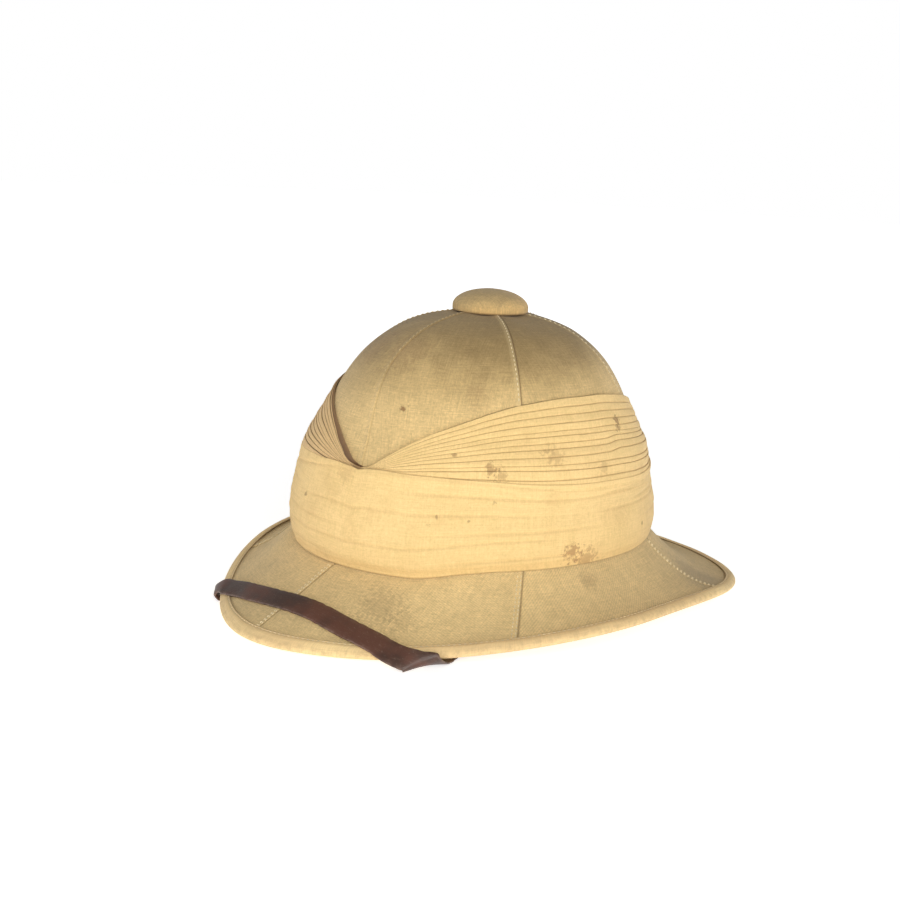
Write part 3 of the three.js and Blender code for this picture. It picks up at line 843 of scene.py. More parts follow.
@dataclass(frozen=True)
class Muslin:
    """Thin cream muslin, slubby, with rust spots and dust, and painted shade in its folds.

    Attributes:
        name: the material's name.
        light: colour of the cloth.
        fold: colour of the painted shade in the folds.
        fold_shade_strength: how dark the painted shade in the folds is.
        seed: place of this piece's clouds.
        stains_and_shade: stains on it, and marks of painted shade.
    """

    name: str
    light: tuple[float, float, float] = (0.89, 0.635, 0.290)
    fold: tuple[float, float, float] = (0.24, 0.115, 0.045)
    fold_shade_strength: float = 0.8
    seed: float = 0.0
    stains_and_shade: tuple[StainAndShade, ...] = ()

    def build(self, effects: Effects) -> bpy.types.Material:
        """Make the material."""
        dress = Dresser(self.name, effects)
        tree = dress.tree
        weave = dress.grouped(effects.weave, {"Cloth": dress.cloth, "Pitch": 0.00062,
                                              "Twill": 0.0, "Slub": 0.8})
        soil = dress.grouped(effects.soiling, {"Place": dress.place,
                                               "Seed": (self.seed, 0.7 * self.seed, 0.0)})
        thread = spread(tree, weave.outputs["Thread"], -0.35, 0.35, 0.91, 1.07, False)
        cloud = spread(tree, soil.outputs[0], 0.0, 1.0, 1.02, 0.94, False)
        grit = spread(tree, noise(tree, dress.place, 820.0, 3.0, 0.7), 0.30, 0.70, 0.92, 1.06, False)
        tone = calc(tree, "MULTIPLY", calc(tree, "MULTIPLY", thread, cloud), grit)
        warm = calc(tree, "POWER", tone, 1.35)
        tint = place_node(tree, "CombineColor", {0: tone, 1: tone, 2: warm}).outputs[0]
        color = blend(tree, 1.0, (*self.light, 1.0), tint, "MULTIPLY")
        dust = spread(tree, noise(tree, dress.place, 55.0, 5.0, 0.7), 0.50, 0.74)
        color = blend(tree, calc(tree, "MULTIPLY", dust, 0.30), color, (0.62, 0.40, 0.17, 1.0))
        color = blend(tree, calc(tree, "MULTIPLY", soil.outputs[1], 0.5), color,
                      (0.33, 0.16, 0.06, 1.0))
        # The crease field is painted shade: it darkens the cloth in the tucks of the pleats and in the
        # creases.
        crease = dress.value_of("crease")
        color = blend(tree, calc(tree, "MULTIPLY", crease, self.fold_shade_strength, clamp=True), color,
                      (*self.fold, 1.0))
        color = dress.stained_and_shaded(color, self.stains_and_shade)
        rough = spread(tree, soil.outputs[0], 0.0, 1.0, 0.84, 0.95, False)
        return dress.finish(color, rough, weave.outputs["Height"], 0.00020, 0.6,
                            Sheen_Weight=0.10, Sheen_Roughness=0.5, Specular_IOR_Level=0.2)


@dataclass(frozen=True)
class Tape:
    """Folded cotton tape on the brim's edge, rubbed darker along its outer fold.

    Attributes:
        name: the material's name.
        light: colour of the tape.
        rubbed: colour of the rubbed fold.
    """

    name: str
    light: tuple[float, float, float] = (0.92, 0.685, 0.345)
    rubbed: tuple[float, float, float] = (0.40, 0.26, 0.14)

    def build(self, effects: Effects) -> bpy.types.Material:
        """Make the material."""
        dress = Dresser(self.name, effects)
        tree = dress.tree
        weave = dress.grouped(effects.weave, {"Cloth": dress.cloth, "Pitch": 0.0008, "Twill": 1.0,
                                              "Slub": 0.4})
        soil = dress.grouped(effects.soiling, {"Place": dress.place, "Seed": (2.1, 0.4, 0.0)})
        thread = spread(tree, weave.outputs["Thread"], -0.35, 0.35, 0.88, 1.10, False)
        cloud = spread(tree, soil.outputs[0], 0.0, 1.0, 1.05, 0.85, False)
        tone = calc(tree, "MULTIPLY", thread, cloud)
        tint = place_node(tree, "CombineColor", {0: tone, 1: tone, 2: tone}).outputs[0]
        color = blend(tree, 1.0, (*self.light, 1.0), tint, "MULTIPLY")
        pink = spread(tree, noise(tree, dress.place, 22.0, 3.0), 0.42, 0.62)
        color = blend(tree, calc(tree, "MULTIPLY", pink, 0.30), color, (0.80, 0.54, 0.28, 1.0))
        rub = dress.grouped(effects.rub, {"Edge": dress.value_of("edge"), "Place": dress.place,
                                          "Amount": 0.35})
        color = blend(tree, rub.outputs[0], color, (*self.rubbed, 1.0))
        # The crease field is painted shade along the tape's inner edge and in its sewn groove.
        crease = dress.value_of("crease")
        color = blend(tree, calc(tree, "MULTIPLY", crease, 0.90), color, (0.11, 0.055, 0.025, 1.0))
        color = blend(tree, calc(tree, "MULTIPLY", soil.outputs[1], 0.4), color,
                      (0.25, 0.13, 0.06, 1.0))
        return dress.finish(color, 0.88, weave.outputs["Height"], 0.00018, 0.6,
                            Sheen_Weight=0.10, Specular_IOR_Level=0.2)


@dataclass(frozen=True)
class Leather:
    """Dark brown strap leather, half glossy, scuffed paler along its cut edges.

    Attributes:
        name: the material's name.
        deep: colour of the grain side.
        red: warmer patches.
        scuffed: colour where the surface is worn off.
    """

    name: str
    deep: tuple[float, float, float] = (0.062, 0.032, 0.023)
    red: tuple[float, float, float] = (0.115, 0.045, 0.028)
    scuffed: tuple[float, float, float] = (0.26, 0.17, 0.125)

    def build(self, effects: Effects) -> bpy.types.Material:
        """Make the material."""
        dress = Dresser(self.name, effects)
        tree = dress.tree
        cloud = noise(tree, dress.place, 38.0, 4.0, 0.6)
        color = blend(tree, spread(tree, cloud, 0.42, 0.64), (*self.deep, 1.0), (*self.red, 1.0))
        drawn = noise(tree, stretch(tree, dress.cloth, 9.0, 1.0), 160.0, 5.0, 0.7)
        streak = spread(tree, drawn, 0.54, 0.72)
        color = blend(tree, calc(tree, "MULTIPLY", streak, 0.35), color, (*self.scuffed, 1.0))
        rub = dress.grouped(effects.rub, {"Edge": dress.value_of("edge"), "Place": dress.place,
                                          "Amount": 1.0})
        nicks = spread(tree, noise(tree, dress.place, 700.0, 3.0, 0.7), 0.60, 0.70)
        color = blend(tree, calc(tree, "MULTIPLY", nicks, 0.40), color, (*self.scuffed, 1.0))
        color = blend(tree, calc(tree, "MULTIPLY", rub.outputs[0], 0.7), color,
                      (*self.scuffed, 1.0))
        grain = place_node(tree, "TexVoronoi", {"Vector": dress.place, "Scale": 1500.0}).outputs[0]
        height = calc(tree, "ADD", calc(tree, "MULTIPLY", grain, 0.5),
                      calc(tree, "MULTIPLY", drawn, 0.9))
        rough = spread(tree, calc(tree, "ADD", cloud, calc(tree, "MULTIPLY", streak, 0.2)),
                       0.35, 0.75, 0.36, 0.62, False)
        return dress.finish(color, rough, height, 0.00025, 0.55, Specular_IOR_Level=0.45,
                            Coat_Weight=0.12, Coat_Roughness=0.35)


@dataclass(frozen=True)
class Thread:
    """Sewing thread: pale cotton, twisted.

    Attributes:
        name: the material's name.
        color: colour of the thread.
    """

    name: str
    color: tuple[float, float, float]

    def build(self, effects: Effects) -> bpy.types.Material:
        """Make the material."""
        dress = Dresser(self.name, effects)
        tree = dress.tree
        soil = dress.grouped(effects.soiling, {"Place": dress.place, "Seed": (5.0, 1.0, 0.0)})
        tone = spread(tree, noise(tree, dress.place, 300.0, 2.0), 0.3, 0.7, 0.72, 1.08, False)
        tone = calc(tree, "MULTIPLY", tone, spread(tree, soil.outputs[0], 0.0, 1.0, 1.05, 0.8, False))
        tint = place_node(tree, "CombineColor", {0: tone, 1: tone, 2: tone}).outputs[0]
        color = blend(tree, 1.0, (*self.color, 1.0), tint, "MULTIPLY")
        twist = noise(tree, dress.place, 2600.0, 1.0)
        return dress.finish(color, 0.85, twist, 0.00008, 0.5, Specular_IOR_Level=0.25)


@dataclass(frozen=True)
class Brass:
    """Dull brass of the strap's rivets and the vent's post, tarnished darker in uneven patches.

    Attributes:
        name: the material's name.
        bright: rubbed metal.
        dull: tarnished metal.
    """

    name: str
    bright: tuple[float, float, float] = (0.62, 0.47, 0.22)
    dull: tuple[float, float, float] = (0.20, 0.145, 0.075)

    def build(self, effects: Effects) -> bpy.types.Material:
        """Make the material."""
        dress = Dresser(self.name, effects)
        tree = dress.tree
        soil = dress.grouped(effects.soiling, {"Place": dress.place, "Seed": (0.5, 0.0, 0.0)})
        mask = spread(tree, noise(tree, dress.place, 340.0, 4.0, 0.65), 0.38, 0.62)
        color = blend(tree, mask, (*self.bright, 1.0), (*self.dull, 1.0))
        color = blend(tree, calc(tree, "MULTIPLY", soil.outputs[1], 0.6), color,
                      (0.10, 0.12, 0.07, 1.0))
        rough = spread(tree, mask, 0.0, 1.0, 0.34, 0.66, False)
        return dress.finish(color, rough, mask, 0.00006, 0.4, Metallic=1.0)


# ---- the helmet's pieces ------------------------------------------------------------------------
def keep(piece: bpy.types.Object, material: bpy.types.Material, slot: str, *nodes: str) -> None:
    """Dress a piece, let it ride on the hat and hide the CAD nodes that it stands for.

    Args:
        piece: the new piece.
        material: its finish.
        slot: the record's material slot; not used.
        nodes: CAD nodes that it replaces.
    """
    piece.data.materials.append(material)
    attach(piece, "root")
    if nodes:
        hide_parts(*nodes)
    LOG.info("%s: %d faces", piece.name, len(piece.data.polygons))


@dataclass
class Crown:
    """Domed crown of six canvas panels over a pith wall, joined by lapped seams.

    Attributes:
        wall: thickness of pith and cloth.
        lap: height of the folded seam over the cloth.
        rows: rows up the outside.
        per_panel: columns across a panel besides those at its seam.
        stitch: length and pitch of the sewing.
    """

    wall: float = 7.0
    lap: float = 0.30
    rows: int = 104
    per_panel: int = 66
    stitch: tuple[float, float] = (2.0, 3.1)

    def lean(self, turn: Array, share: Array) -> Array:
        """Bend the front seam over to the scarf's gather as it comes down, by a bell curve."""
        down = 1 - ease(FORM.crown_share(92.0), FORM.crown_share(146.0), share)
        near = np.exp(-(away(turn, 0.0) / np.radians(17.0)) ** 2)
        return turn + FORM.gather * 0.85 * down * near

    def radius(self, share: Array) -> Array:
        """Plan radius of the crown at a share of its profile."""
        return 0.5 * (FORM.crown(np.zeros_like(share), share)[..., 1] * -1
                      + FORM.centre_y(FORM.crown(np.zeros_like(share), share)[..., 2])
                      + FORM.crown(np.full_like(share, 0.5 * np.pi), share)[..., 0])

    def outside(self, turn: Array, share: Array) -> Array:
        """Outer cloth: the plain dome plus the lapped seams and slow unevenness."""
        _, lap = seam_fields(turn, self.radius(share))
        fade = ease(1.0, 0.975, share) * ease(0.0, 0.02, share)
        uneven = 0.22 * drift(2.4 * np.sin(turn) + 5 * share, 2.4 * np.cos(turn), 11)
        # Between two seams the cloth is drawn a little flatter than the dome.
        flat = -0.55 * np.sin(3 * turn) ** 2 * ease(0.0, 0.5, share)
        offset = (self.lap * lap + uneven + flat) * fade
        return FORM.crown(self.lean(turn, share), share, offset)

    def build(self, canvas: bpy.types.Material, thread: bpy.types.Material,
              worn: bpy.types.Material) -> None:
        """Make the dome with its inner face, and the sewing on its seams.

        Args:
            canvas: finish of the cloth.
            thread: finish of the sewing.
            worn: finish of the sewing in front, which has taken the cloth's colour.
        """
        turns = seam_turns(self.per_panel)
        share = np.linspace(0.0, 1.0, self.rows)
        turn, up = np.meshgrid(turns, share)
        outer = self.outside(turn, up)
        inner_share = np.linspace(1.0, 0.0, 26)
        turn_in, down = np.meshgrid(turns, inner_share)
        inner = FORM.crown(turn_in, down, -self.wall)
        top = down > 0.999
        bore = FORM.crown(turn_in, down, 0.0)
        inner[top] = bore[top] - np.array([0.0, 0.0, self.wall])
        inner[-1] = FORM.crown(turns, np.zeros_like(turns), 0.0)
        inner[-1, :, :2] -= self.wall * np.stack([np.sin(turns), -np.cos(turns)], -1)
        points = np.concatenate([outer, inner])
        radius = self.radius(np.concatenate([share, inner_share]))[:, None]
        steps = np.linalg.norm(np.diff(points[:, 0], axis=0), axis=1)
        along = np.broadcast_to(np.concatenate([[0], np.cumsum(steps)])[:, None],
                                points.shape[:2])
        panel = np.floor((turns[:-1] + turns[1:]) / 2 / PANEL)
        left, right = turns[:-1] - PANEL * (panel + 0.5), turns[1:] - PANEL * (panel + 0.5)
        across = radius * np.append(left, left[0])[None, :]
        across_right = radius * np.append(right[-1], right)[None, :]
        distance, lap = seam_fields(turn, self.radius(up))
        faint = 1 - 0.75 * np.exp(-(away(turn, 0.0) / np.radians(20.0)) ** 2)
        dark = faint * np.exp(-((distance - 0.3) / 0.42) ** 2)
        inside = np.zeros(inner.shape[:2])
        cloth = Cloth(points, across, along, round_rows=True, across_right=across_right,
                      fields={"seam": np.concatenate([dark, inside]),
                              "strip": np.concatenate([faint * np.clip(lap, 0, 1), inside])})
        keep(cloth.piece("crown_cloth"), canvas, "khaki_canvas", "crown")
        self.sew("crown_stitches", range(1, 6), thread, 0.24)
        self.sew("crown_front_stitches", range(1), worn, 0.20)

    def sew(self, name: str, numbers: Sequence[int], thread: bpy.types.Material,
            radius: float) -> None:
        """Sew one row along each lapped seam, from the scarf up to the vent cap.

        Args:
            name: the object's name.
            numbers: which seams, counted round from the front.
            thread: finish of the sewing.
            radius: radius of the thread.
        """
        found = []
        for number in numbers:
            middle = PANEL * number
            low = FORM.crown_share(float(FORM.fan_top(np.array(middle))) + 1.0)
            share = np.linspace(low, 0.945, 300)
            turn = middle - 1.3 / self.radius(share)
            found.append(sewn_row(self.outside, turn, share, self.stitch[1]))
        middles, ways, lifts = (np.concatenate(part) for part in zip(*found))
        piece = stitch_piece(name, middles, ways, lifts, self.stitch[0], radius)
        keep(piece, thread, "khaki_canvas")


@dataclass
class Brim:
    """Sloping brim: a thin pith wall covered in six canvas panels, with a collar for the crown.

    Attributes:
        wall_inner: thickness beside the scarf.
        wall_edge: thickness at the binding.
        joint: height of the collar's top, where the crown stands on it.
        sleeve: thickness of the collar, the same as the crown's wall.
        lap: height of the folded seam over the cloth.
        rows: rows from the scarf's foot to the edge.
        per_panel: columns across a panel besides those at its seam.
        stitch: length and pitch of the sewing.
    """

    wall_inner: float = 5.4
    wall_edge: float = 2.4
    joint: float = 44.9
    sleeve: float = 7.0
    lap: float = 0.32
    rows: int = 46
    per_panel: int = 58
    stitch: tuple[float, float] = (1.7, 2.6)

    def top(self, turn: Array, reach: Array) -> Array:
        """Upper cloth: the slope plus the lapped seams and slow waves that die out at the edge."""
        radius = 105.0 + 40.0 * reach
        _, lap = seam_fields(turn, radius)
        fade = ease(1.0, 0.93, reach) * ease(-0.02, 0.05, reach)
        wave = 0.45 * drift(3.1 * np.sin(turn) + 2 * reach, 3.1 * np.cos(turn), 23)
        point = FORM.brim(turn, reach)
        point[..., 2] += (self.lap * lap + wave) * fade
        return point

    def build(self, canvas: bpy.types.Material, thread: bpy.types.Material) -> None:
        """Make the brim and the double sewing on its seams.

        Args:
            canvas: finish of the cloth.
            thread: finish of the sewing.
        """
        turns = seam_turns(self.per_panel)
        reach = np.linspace(0.0, 1.0, self.rows)
        turn, out = np.meshgrid(turns, reach)
        upper = self.top(turn, out)
        turn_u, back = np.meshgrid(turns, np.linspace(1.0, 0.08, 20))
        under = FORM.brim(turn_u, back)
        under[..., 2] -= self.wall_inner + (self.wall_edge - self.wall_inner) * np.sqrt(back)
        foot = FORM.foot_height(turns)

        def collar(z: Array | float, inward: float) -> Array:
            """One ring of the collar at height z, moved in from the crown's outside."""
            ring = FORM.crown(turns, np.zeros_like(turns), 0.0)
            ring[:, :2] -= inward * np.stack([np.sin(turns), -np.cos(turns)], -1)
            ring[:, 2] = z
            return ring[None]

        points = np.concatenate([
            collar(self.joint, 0.0), collar(foot + 3.6, 0.0), upper, under,
            collar(foot - 4.5, 5.5), collar(foot + 1.0, self.sleeve),
            collar(self.joint, self.sleeve)])
        steps = np.linalg.norm(np.diff(points, axis=0), axis=2)
        along = np.concatenate([np.zeros((1, len(turns))), np.cumsum(steps, axis=0)])
        radius = np.linalg.norm(points[..., :2], axis=2)
        panel = np.floor((turns[:-1] + turns[1:]) / 2 / PANEL)
        left, right = turns[:-1] - PANEL * (panel + 0.5), turns[1:] - PANEL * (panel + 0.5)
        across = radius * np.append(left, left[0])[None, :]
        across_right = radius * np.append(right[-1], right)[None, :]
        distance, lap = seam_fields(turn, 105.0 + 40.0 * out)
        dark = np.exp(-((distance - 0.3) / 0.42) ** 2)
        head, tail = np.zeros((2, len(turns))), np.zeros((23, len(turns)))
        cloth = Cloth(points, across, along, round_rows=True, across_right=across_right,
                      fields={"seam": np.concatenate([head, dark, tail]),
                              "strip": np.concatenate([head, np.clip(lap, 0, 1) * 0.4, tail])})
        keep(cloth.piece("brim_cloth"), canvas, "khaki_canvas", "brim")
        self.sew(thread)

    def sew(self, thread: bpy.types.Material) -> None:
        """Sew two rows along each lapped seam, from the scarf out to the binding."""
        found = []
        for number in range(6):
            for inset in (0.8, 2.6):
                reach = np.linspace(0.03, 0.90, 200)
                turn = PANEL * number - inset / (105.0 + 40.0 * reach)
                middles, ways, lifts = sewn_row(self.top, turn, reach, self.stitch[1])
                found.append((middles, ways, -lifts))
        middles, ways, lifts = (np.concatenate(part) for part in zip(*found))
        piece = stitch_piece("brim_stitches", middles, ways, lifts, self.stitch[0], 0.27)
        keep(piece, thread, "khaki_canvas")


@dataclass
class Binding:
    """Tape folded round the brim's edge and sewn through with one row.

    Attributes:
        width: width of the tape on top of the brim.
        cloth: thickness of the folded tape.
        gap: air between tape and brim wall.
        thickness: height of the edge.
        around: columns round the hat.
        stitch: length and pitch of the sewing.
    """

    width: float = 6.6
    cloth: float = 1.0
    gap: float = 0.3
    thickness: float = 5.0
    around: int = 720
    stitch: tuple[float, float] = (1.9, 2.8)

    def over(self, turn: Array, inset: Array, lift: Array | float) -> Array:
        """Point over the brim at a distance in from the edge, lifted off its cloth."""
        reach = 1 - (inset - self.cloth - self.gap) / FORM.brim_breadth(turn)
        point = FORM.brim(turn, reach)
        point[..., 2] += self.gap + lift
        return point

    def pucker(self, turn: Array) -> Array:
        """Little swells between the stitches, uneven along the edge."""
        return 0.10 * np.sin(350 * turn) + 0.22 * drift(14 * np.sin(turn), 14 * np.cos(turn), 5)

    def build(self, tape: bpy.types.Material, thread: bpy.types.Material) -> None:
        """Make the tape as a closed profile carried round the edge, and its row of sewing.

        Args:
            tape: finish of the tape.
            thread: finish of the sewing.
        """
        turn = np.linspace(0.0, TURN, self.around + 1)
        rise, t, c = FORM.edge_rise(turn), self.thickness, self.cloth
        breadth = FORM.brim_breadth(turn)
        inner = 1 - (self.width - c) / breadth
        under = FORM.brim(turn, inner)[:, 2] - (5.4 + (2.4 - 5.4) * np.sqrt(inner)) - self.gap
        hem = self.width - 1.2
        puff = self.pucker(turn)

        def at(inset: float, z: Array) -> Array:
            """Row of the tape at a height of its own."""
            return np.concatenate([FORM.edge(turn, np.full_like(turn, inset)), z[:, None]], -1)

        def over(inset: float, lift: Array | float) -> Array:
            """Row of the tape a little over the brim's top."""
            return self.over(turn, np.full_like(turn, inset), lift)

        profile = np.stack([
            over(self.width, 0.05 + 0 * puff), over(self.width + 0.12, 0.45 + 0.3 * puff),
            over(self.width - 0.15, 0.92 * c + 0.4 * puff), over(self.width - 0.9, c + 0.5 * puff),
            over(5.6, 0.72 * c + 0.2 * puff), over(4.4, c + puff), over(3.0, c + 0.15 + puff),
            at(1.9, rise + 0.94 * t + 0.5 * puff), at(0.75, rise + 0.76 * t + 0.3 * puff),
            at(0.05, rise + 0.50 * t), at(0.12, rise + 0.28 * t), at(0.7, rise + 0.10 * t),
            at(1.8, rise + 0.01), at(3.4, np.minimum(rise + 0.02, under - c)),
            at(hem, np.minimum(rise, under - c)), at(hem + 0.1, np.minimum(rise + 0.5 * c, under)),
            at(hem, np.minimum(rise + c, under)), at(c + 0.3, rise + c), at(c, rise + c + 0.3),
            at(c, rise + t - c - 0.4), at(c + 0.4, rise + t - c - 0.1), over(4.0, 0.1)])
        edge = np.zeros(profile.shape[:2])
        edge[7:13] = np.array([0.45, 0.9, 1.0, 1.0, 0.8, 0.4])[:, None]
        # Painted shade: the crease field darkens the tape's inner edge against the brim and the groove
        # of its sewing.
        crease = np.zeros(profile.shape[:2])
        crease[[0, 1, 2, 4, -1]] = np.array([1.0, 1.0, 0.55, 0.45, 1.0])[:, None]
        steps = np.linalg.norm(np.diff(profile, axis=0), axis=2).mean(axis=1)
        along = np.concatenate([[0], np.cumsum(steps)])
        run = np.concatenate([[0], np.cumsum(np.linalg.norm(
            np.diff(FORM.edge(turn), axis=0), axis=1))])
        cloth = Cloth(profile, np.broadcast_to(run[None], profile.shape[:2]),
                      np.broadcast_to(along[:, None], profile.shape[:2]), round_rows=True,
                      fields={"edge": edge, "crease": crease})
        piece = cloth.piece("binding_tape")
        finer = piece.modifiers.new("finer", "SUBSURF")
        finer.levels = finer.render_levels = 1
        keep(piece, tape, "cream_tape", "brim_binding")

        def sewn(a: Array, inset: Array) -> Array:
            """Surface that the row of stitches lies on."""
            return self.over(a, inset, 0.72 * c + 0.2 * self.pucker(a))

        dense = np.linspace(0.0, TURN, 6000)
        middles, ways, lifts = sewn_row(sewn, dense, np.full_like(dense, 5.6), self.stitch[1])
        row = stitch_piece("binding_stitches", middles, ways, lifts, self.stitch[0], 0.23)
        keep(row, thread, "cream_tape")


@dataclass
class Scarf:
    """Muslin scarf: a smooth lower wrap and a pleated fan on each side, pinched at the gathers.

    Attributes:
        pleats: heights of the left fan's folded edges, as shares from the low line to the top.
        right_pleats: the same for the right fan, which is pleated tighter at its top.
        depth: how far one pleat stands over the next.
        tuck: how deep a pleat goes in behind its neighbour.
        around: columns round the band.
        columns: columns along a fan.
    """

    pleats: tuple[float, ...] = (1.0, 0.915, 0.825, 0.747, 0.665, 0.595, 0.523, 0.453, 0.369,
                                 0.287, 0.214, 0.118)
    right_pleats: tuple[float, ...] = (1.0, 0.955, 0.865, 0.78, 0.695, 0.61, 0.53, 0.45, 0.37,
                                       0.29, 0.20)
    depth: float = 0.85
    tuck: float = 2.6
    around: int = 620
    columns: int = 340

    def slack(self, turn: Array, share: Array) -> Array:
        """Long creases in the lower wrap: -1 in a crease's line, with a low swell above it.

        Each line wanders round the hat, and fades in and out along it.
        """
        foot = FORM.foot_height(turn) + 0.5
        tall = FORM.fan_low(turn) + 0.9 - foot
        total = np.zeros(np.broadcast(turn, share).shape)
        for number, level in enumerate((0.13, 0.22, 0.34, 0.43, 0.52, 0.61, 0.70, 0.80, 0.90)):
            line = level + 0.045 * drift(1.6 * np.sin(turn) + number, 1.6 * np.cos(turn), 40 + number)
            part = ease(-0.6, 0.5, drift(2.0 * np.sin(turn), 2.0 * np.cos(turn) + number, 60 + number))
            gap = (share - line) * tall
            total = total - part * np.exp(-((gap / 0.75) ** 2)) + 0.5 * part * np.exp(
                -(((gap - 2.2) / 1.6) ** 2))
        return total

    def band_point(self, turn: Array, share: Array) -> Array:
        """Outside of the lower wrap, from its hem at 0 to its upper edge at 1.

        The scarf's section, with long slack creases pressed in and slow swells added.
        """
        foot = FORM.foot_height(turn) + 0.5
        low = FORM.fan_low(turn) + 0.9
        z = foot + (low - foot) * share
        pull = 2.0 * np.sin(turn) + 0.4 * np.sin(2 * turn + 1)
        swell = 0.50 * drift(2.2 * np.sin(turn) + 3.0 * share, 2.2 * np.cos(turn), 31)
        crease = 0.55 * self.slack(turn, share)
        ripple = 0.10 * drift(26 * np.sin(turn) + pull, 26 * np.cos(turn) + 9 * share, 77)
        stand = 0.75 * ease(0.86, 1.0, share)
        pinch = FORM.pinch(turn) * ease(0.72, 1.0, share)
        hem = ease(0.0, 0.09, share)
        offset = (swell + crease + ripple) * hem * ease(1.0, 0.93, share) + stand + pinch
        point = FORM.scarf(turn, z, offset)
        plan = FORM.foot(turn)
        out = plan - np.array([0.0, FORM.foot_y])
        out /= np.linalg.norm(out, axis=-1, keepdims=True)
        edge = np.concatenate([plan + 1.3 * out, foot[..., None] + 0 * z[..., None]], -1)
        near = (1 - ease(0.0, 0.12, share))[..., None]
        point[..., :2] = point[..., :2] * (1 - near) + edge[..., :2] * near
        return point

    def build_band(self, muslin: bpy.types.Material) -> bpy.types.Object:
        """Make the lower wrap with its turned-in hem and rolled upper edge.

        Args:
            muslin: finish of the cloth.

        Returns:
            The band.
        """
        turns = np.linspace(0.0, TURN, self.around + 1)
        share = np.concatenate([np.linspace(0.0, 0.08, 6), np.linspace(0.10, 0.92, 60),
                                np.linspace(0.935, 1.0, 8)])
        turn, level = np.meshgrid(turns, share)
        face = self.band_point(turn, level)
        hem = face[0].copy()
        inward = np.stack([-np.sin(turns), np.cos(turns)], -1)

        def beside(row: Array, step: float, drop: float) -> Array:
            """The row moved in towards the crown and up by drop."""
            moved = row.copy()
            moved[:, :2] += inward * step
            moved[:, 2] += drop
            return moved[None]

        points = np.concatenate([
            beside(hem, 3.0, 1.1), beside(hem, 1.0, 0.25), beside(hem, 0.35, -0.18), face,
            beside(face[-1], 0.35, 0.30), beside(face[-1], 0.9, 0.10), beside(face[-1], 1.25, -1.0),
            beside(face[-1], 1.5, -6.0)])
        steps = np.linalg.norm(np.diff(points, axis=0), axis=2).mean(axis=1)
        along = np.concatenate([[0], np.cumsum(steps)])
        # The crease field is painted shade: faint along the slack creases, dark at the turned-in hem
        # and on the rolled upper edge where the wrap goes in under the fans.
        crease = np.zeros(points.shape[:2])
        crease[3:-4] = 0.22 * np.clip(-self.slack(turn, level), 0, 1)
        crease[:3] = 0.9
        crease[3] = 0.55
        crease[-3:] = 0.8
        crease[-4] = 0.3
        cloth = Cloth(points, np.broadcast_to(110.0 * turns[None], points.shape[:2]),
                      np.broadcast_to(along[:, None], points.shape[:2]),
                      fields={"crease": crease})
        piece = cloth.piece("scarf_band_cloth")
        keep(piece, muslin, "cream_muslin", "scarf_band")
        return piece

    def fan(self, side: Side) -> Cloth:
        """Zigzag cloth of one fan.

        Down each pleat the cloth comes up behind, turns over the folded edge, runs down the face
        and goes in under the next edge; its offset falls from the fold to the tuck.

        Args:
            side: the wearer's side.

        Returns:
            The grid of the fan.
        """
        start, stop = FORM.gather, side.value * np.pi
        way = np.linspace(0.0, 1.0, self.columns)
        way = way + 0.04 * np.sin(TURN * way) * -0.5
        turn = start + (stop - start) * way
        top, low = FORM.fan_top(turn), FORM.fan_low(turn) - 2.0
        spread_out = top - low
        pleats = self.pleats if side is Side.LEFT else self.right_pleats
        count = len(pleats)
        edges = np.array([*pleats, -0.02])[:, None] + np.zeros_like(turn)[None]
        slip = np.array([drift(1.5 * turn, np.full_like(turn, k), 90 + k) for k in range(count + 1)])
        edges[1:-1] += 0.010 * slip[1:-1]
        if side is Side.LEFT:
            # One pleat has slipped up a little past the wearer's left side.
            edges[6:9] += 0.028 * ease(np.radians(93), np.radians(101), turn)
        fold_z = low + spread_out * edges
        room = fold_z[:-1] - fold_z[1:]
        stand = self.depth * np.clip(room / 3.0, 0.12, 1.0)
        tuck = np.minimum(self.tuck, 0.75 * room)
        # The third number in each row below, kept in dark, is painted shade: dark where the cloth goes
        # in under a folded edge, clear on the open face of a pleat.
        level, height, dark = [], [], []
        for k in range(count):
            z0, gap, amp, deep = fold_z[k], room[k], stand[k], tuck[k]
            for drop, off, tone in (
                (deep, 0.16, 1.0), (0.35 * deep, 0.34, 0.9), (0.05 * deep, 0.62, 0.28),
            ):
                level.append(z0 - drop)
                height.append(off * amp)
                dark.append(tone + 0 * turn)
            for part, off, tone in ((0.03, 0.93, 0.0), (0.10, 1.0, 0.0), (0.30, 0.99, 0.0),
                                    (0.50, 0.95, 0.0), (0.70, 0.88, 0.0), (0.85, 0.78, 0.03),
                                    (0.94, 0.60, 0.35), (1.0, 0.34, 0.95)):
                level.append(z0 - part * gap)
                height.append(off * amp)
                dark.append(tone + 0 * turn)
            level.append(z0 - gap - (tuck[min(k + 1, count - 1)]))
            height.append(0.14 * amp)
            dark.append(1.0 + 0 * turn)
        # The painted shade is lighter on the lowest pleat's last four rows.
        for row in range(-4, 0):
            dark[row] = 0.2 * dark[row]
        z, lift, crease = np.array(level), np.array(height), np.array(dark)
        pinch = FORM.pinch(turn) - 0.5 * np.exp(-(away(turn, FORM.gather) / np.radians(7)) ** 2)
        uneven = 0.22 * drift(3.0 * turn[None] + 0.05 * z, 0.30 * z, 17)
        points = FORM.scarf(turn[None] + 0 * z, z, lift - self.depth + 0.30 + uneven + pinch)
        # The top edge is turned in against the crown, so no gap shows behind it.
        narrow = np.minimum(1.0, room[0] / 2.0)
        turned_in = np.stack([FORM.crown_at(turn, fold_z[0] - 3.0 * narrow, 0.15),
                              FORM.crown_at(turn, fold_z[0] - 0.25 * narrow, 0.25)])
        points = np.concatenate([turned_in, points])
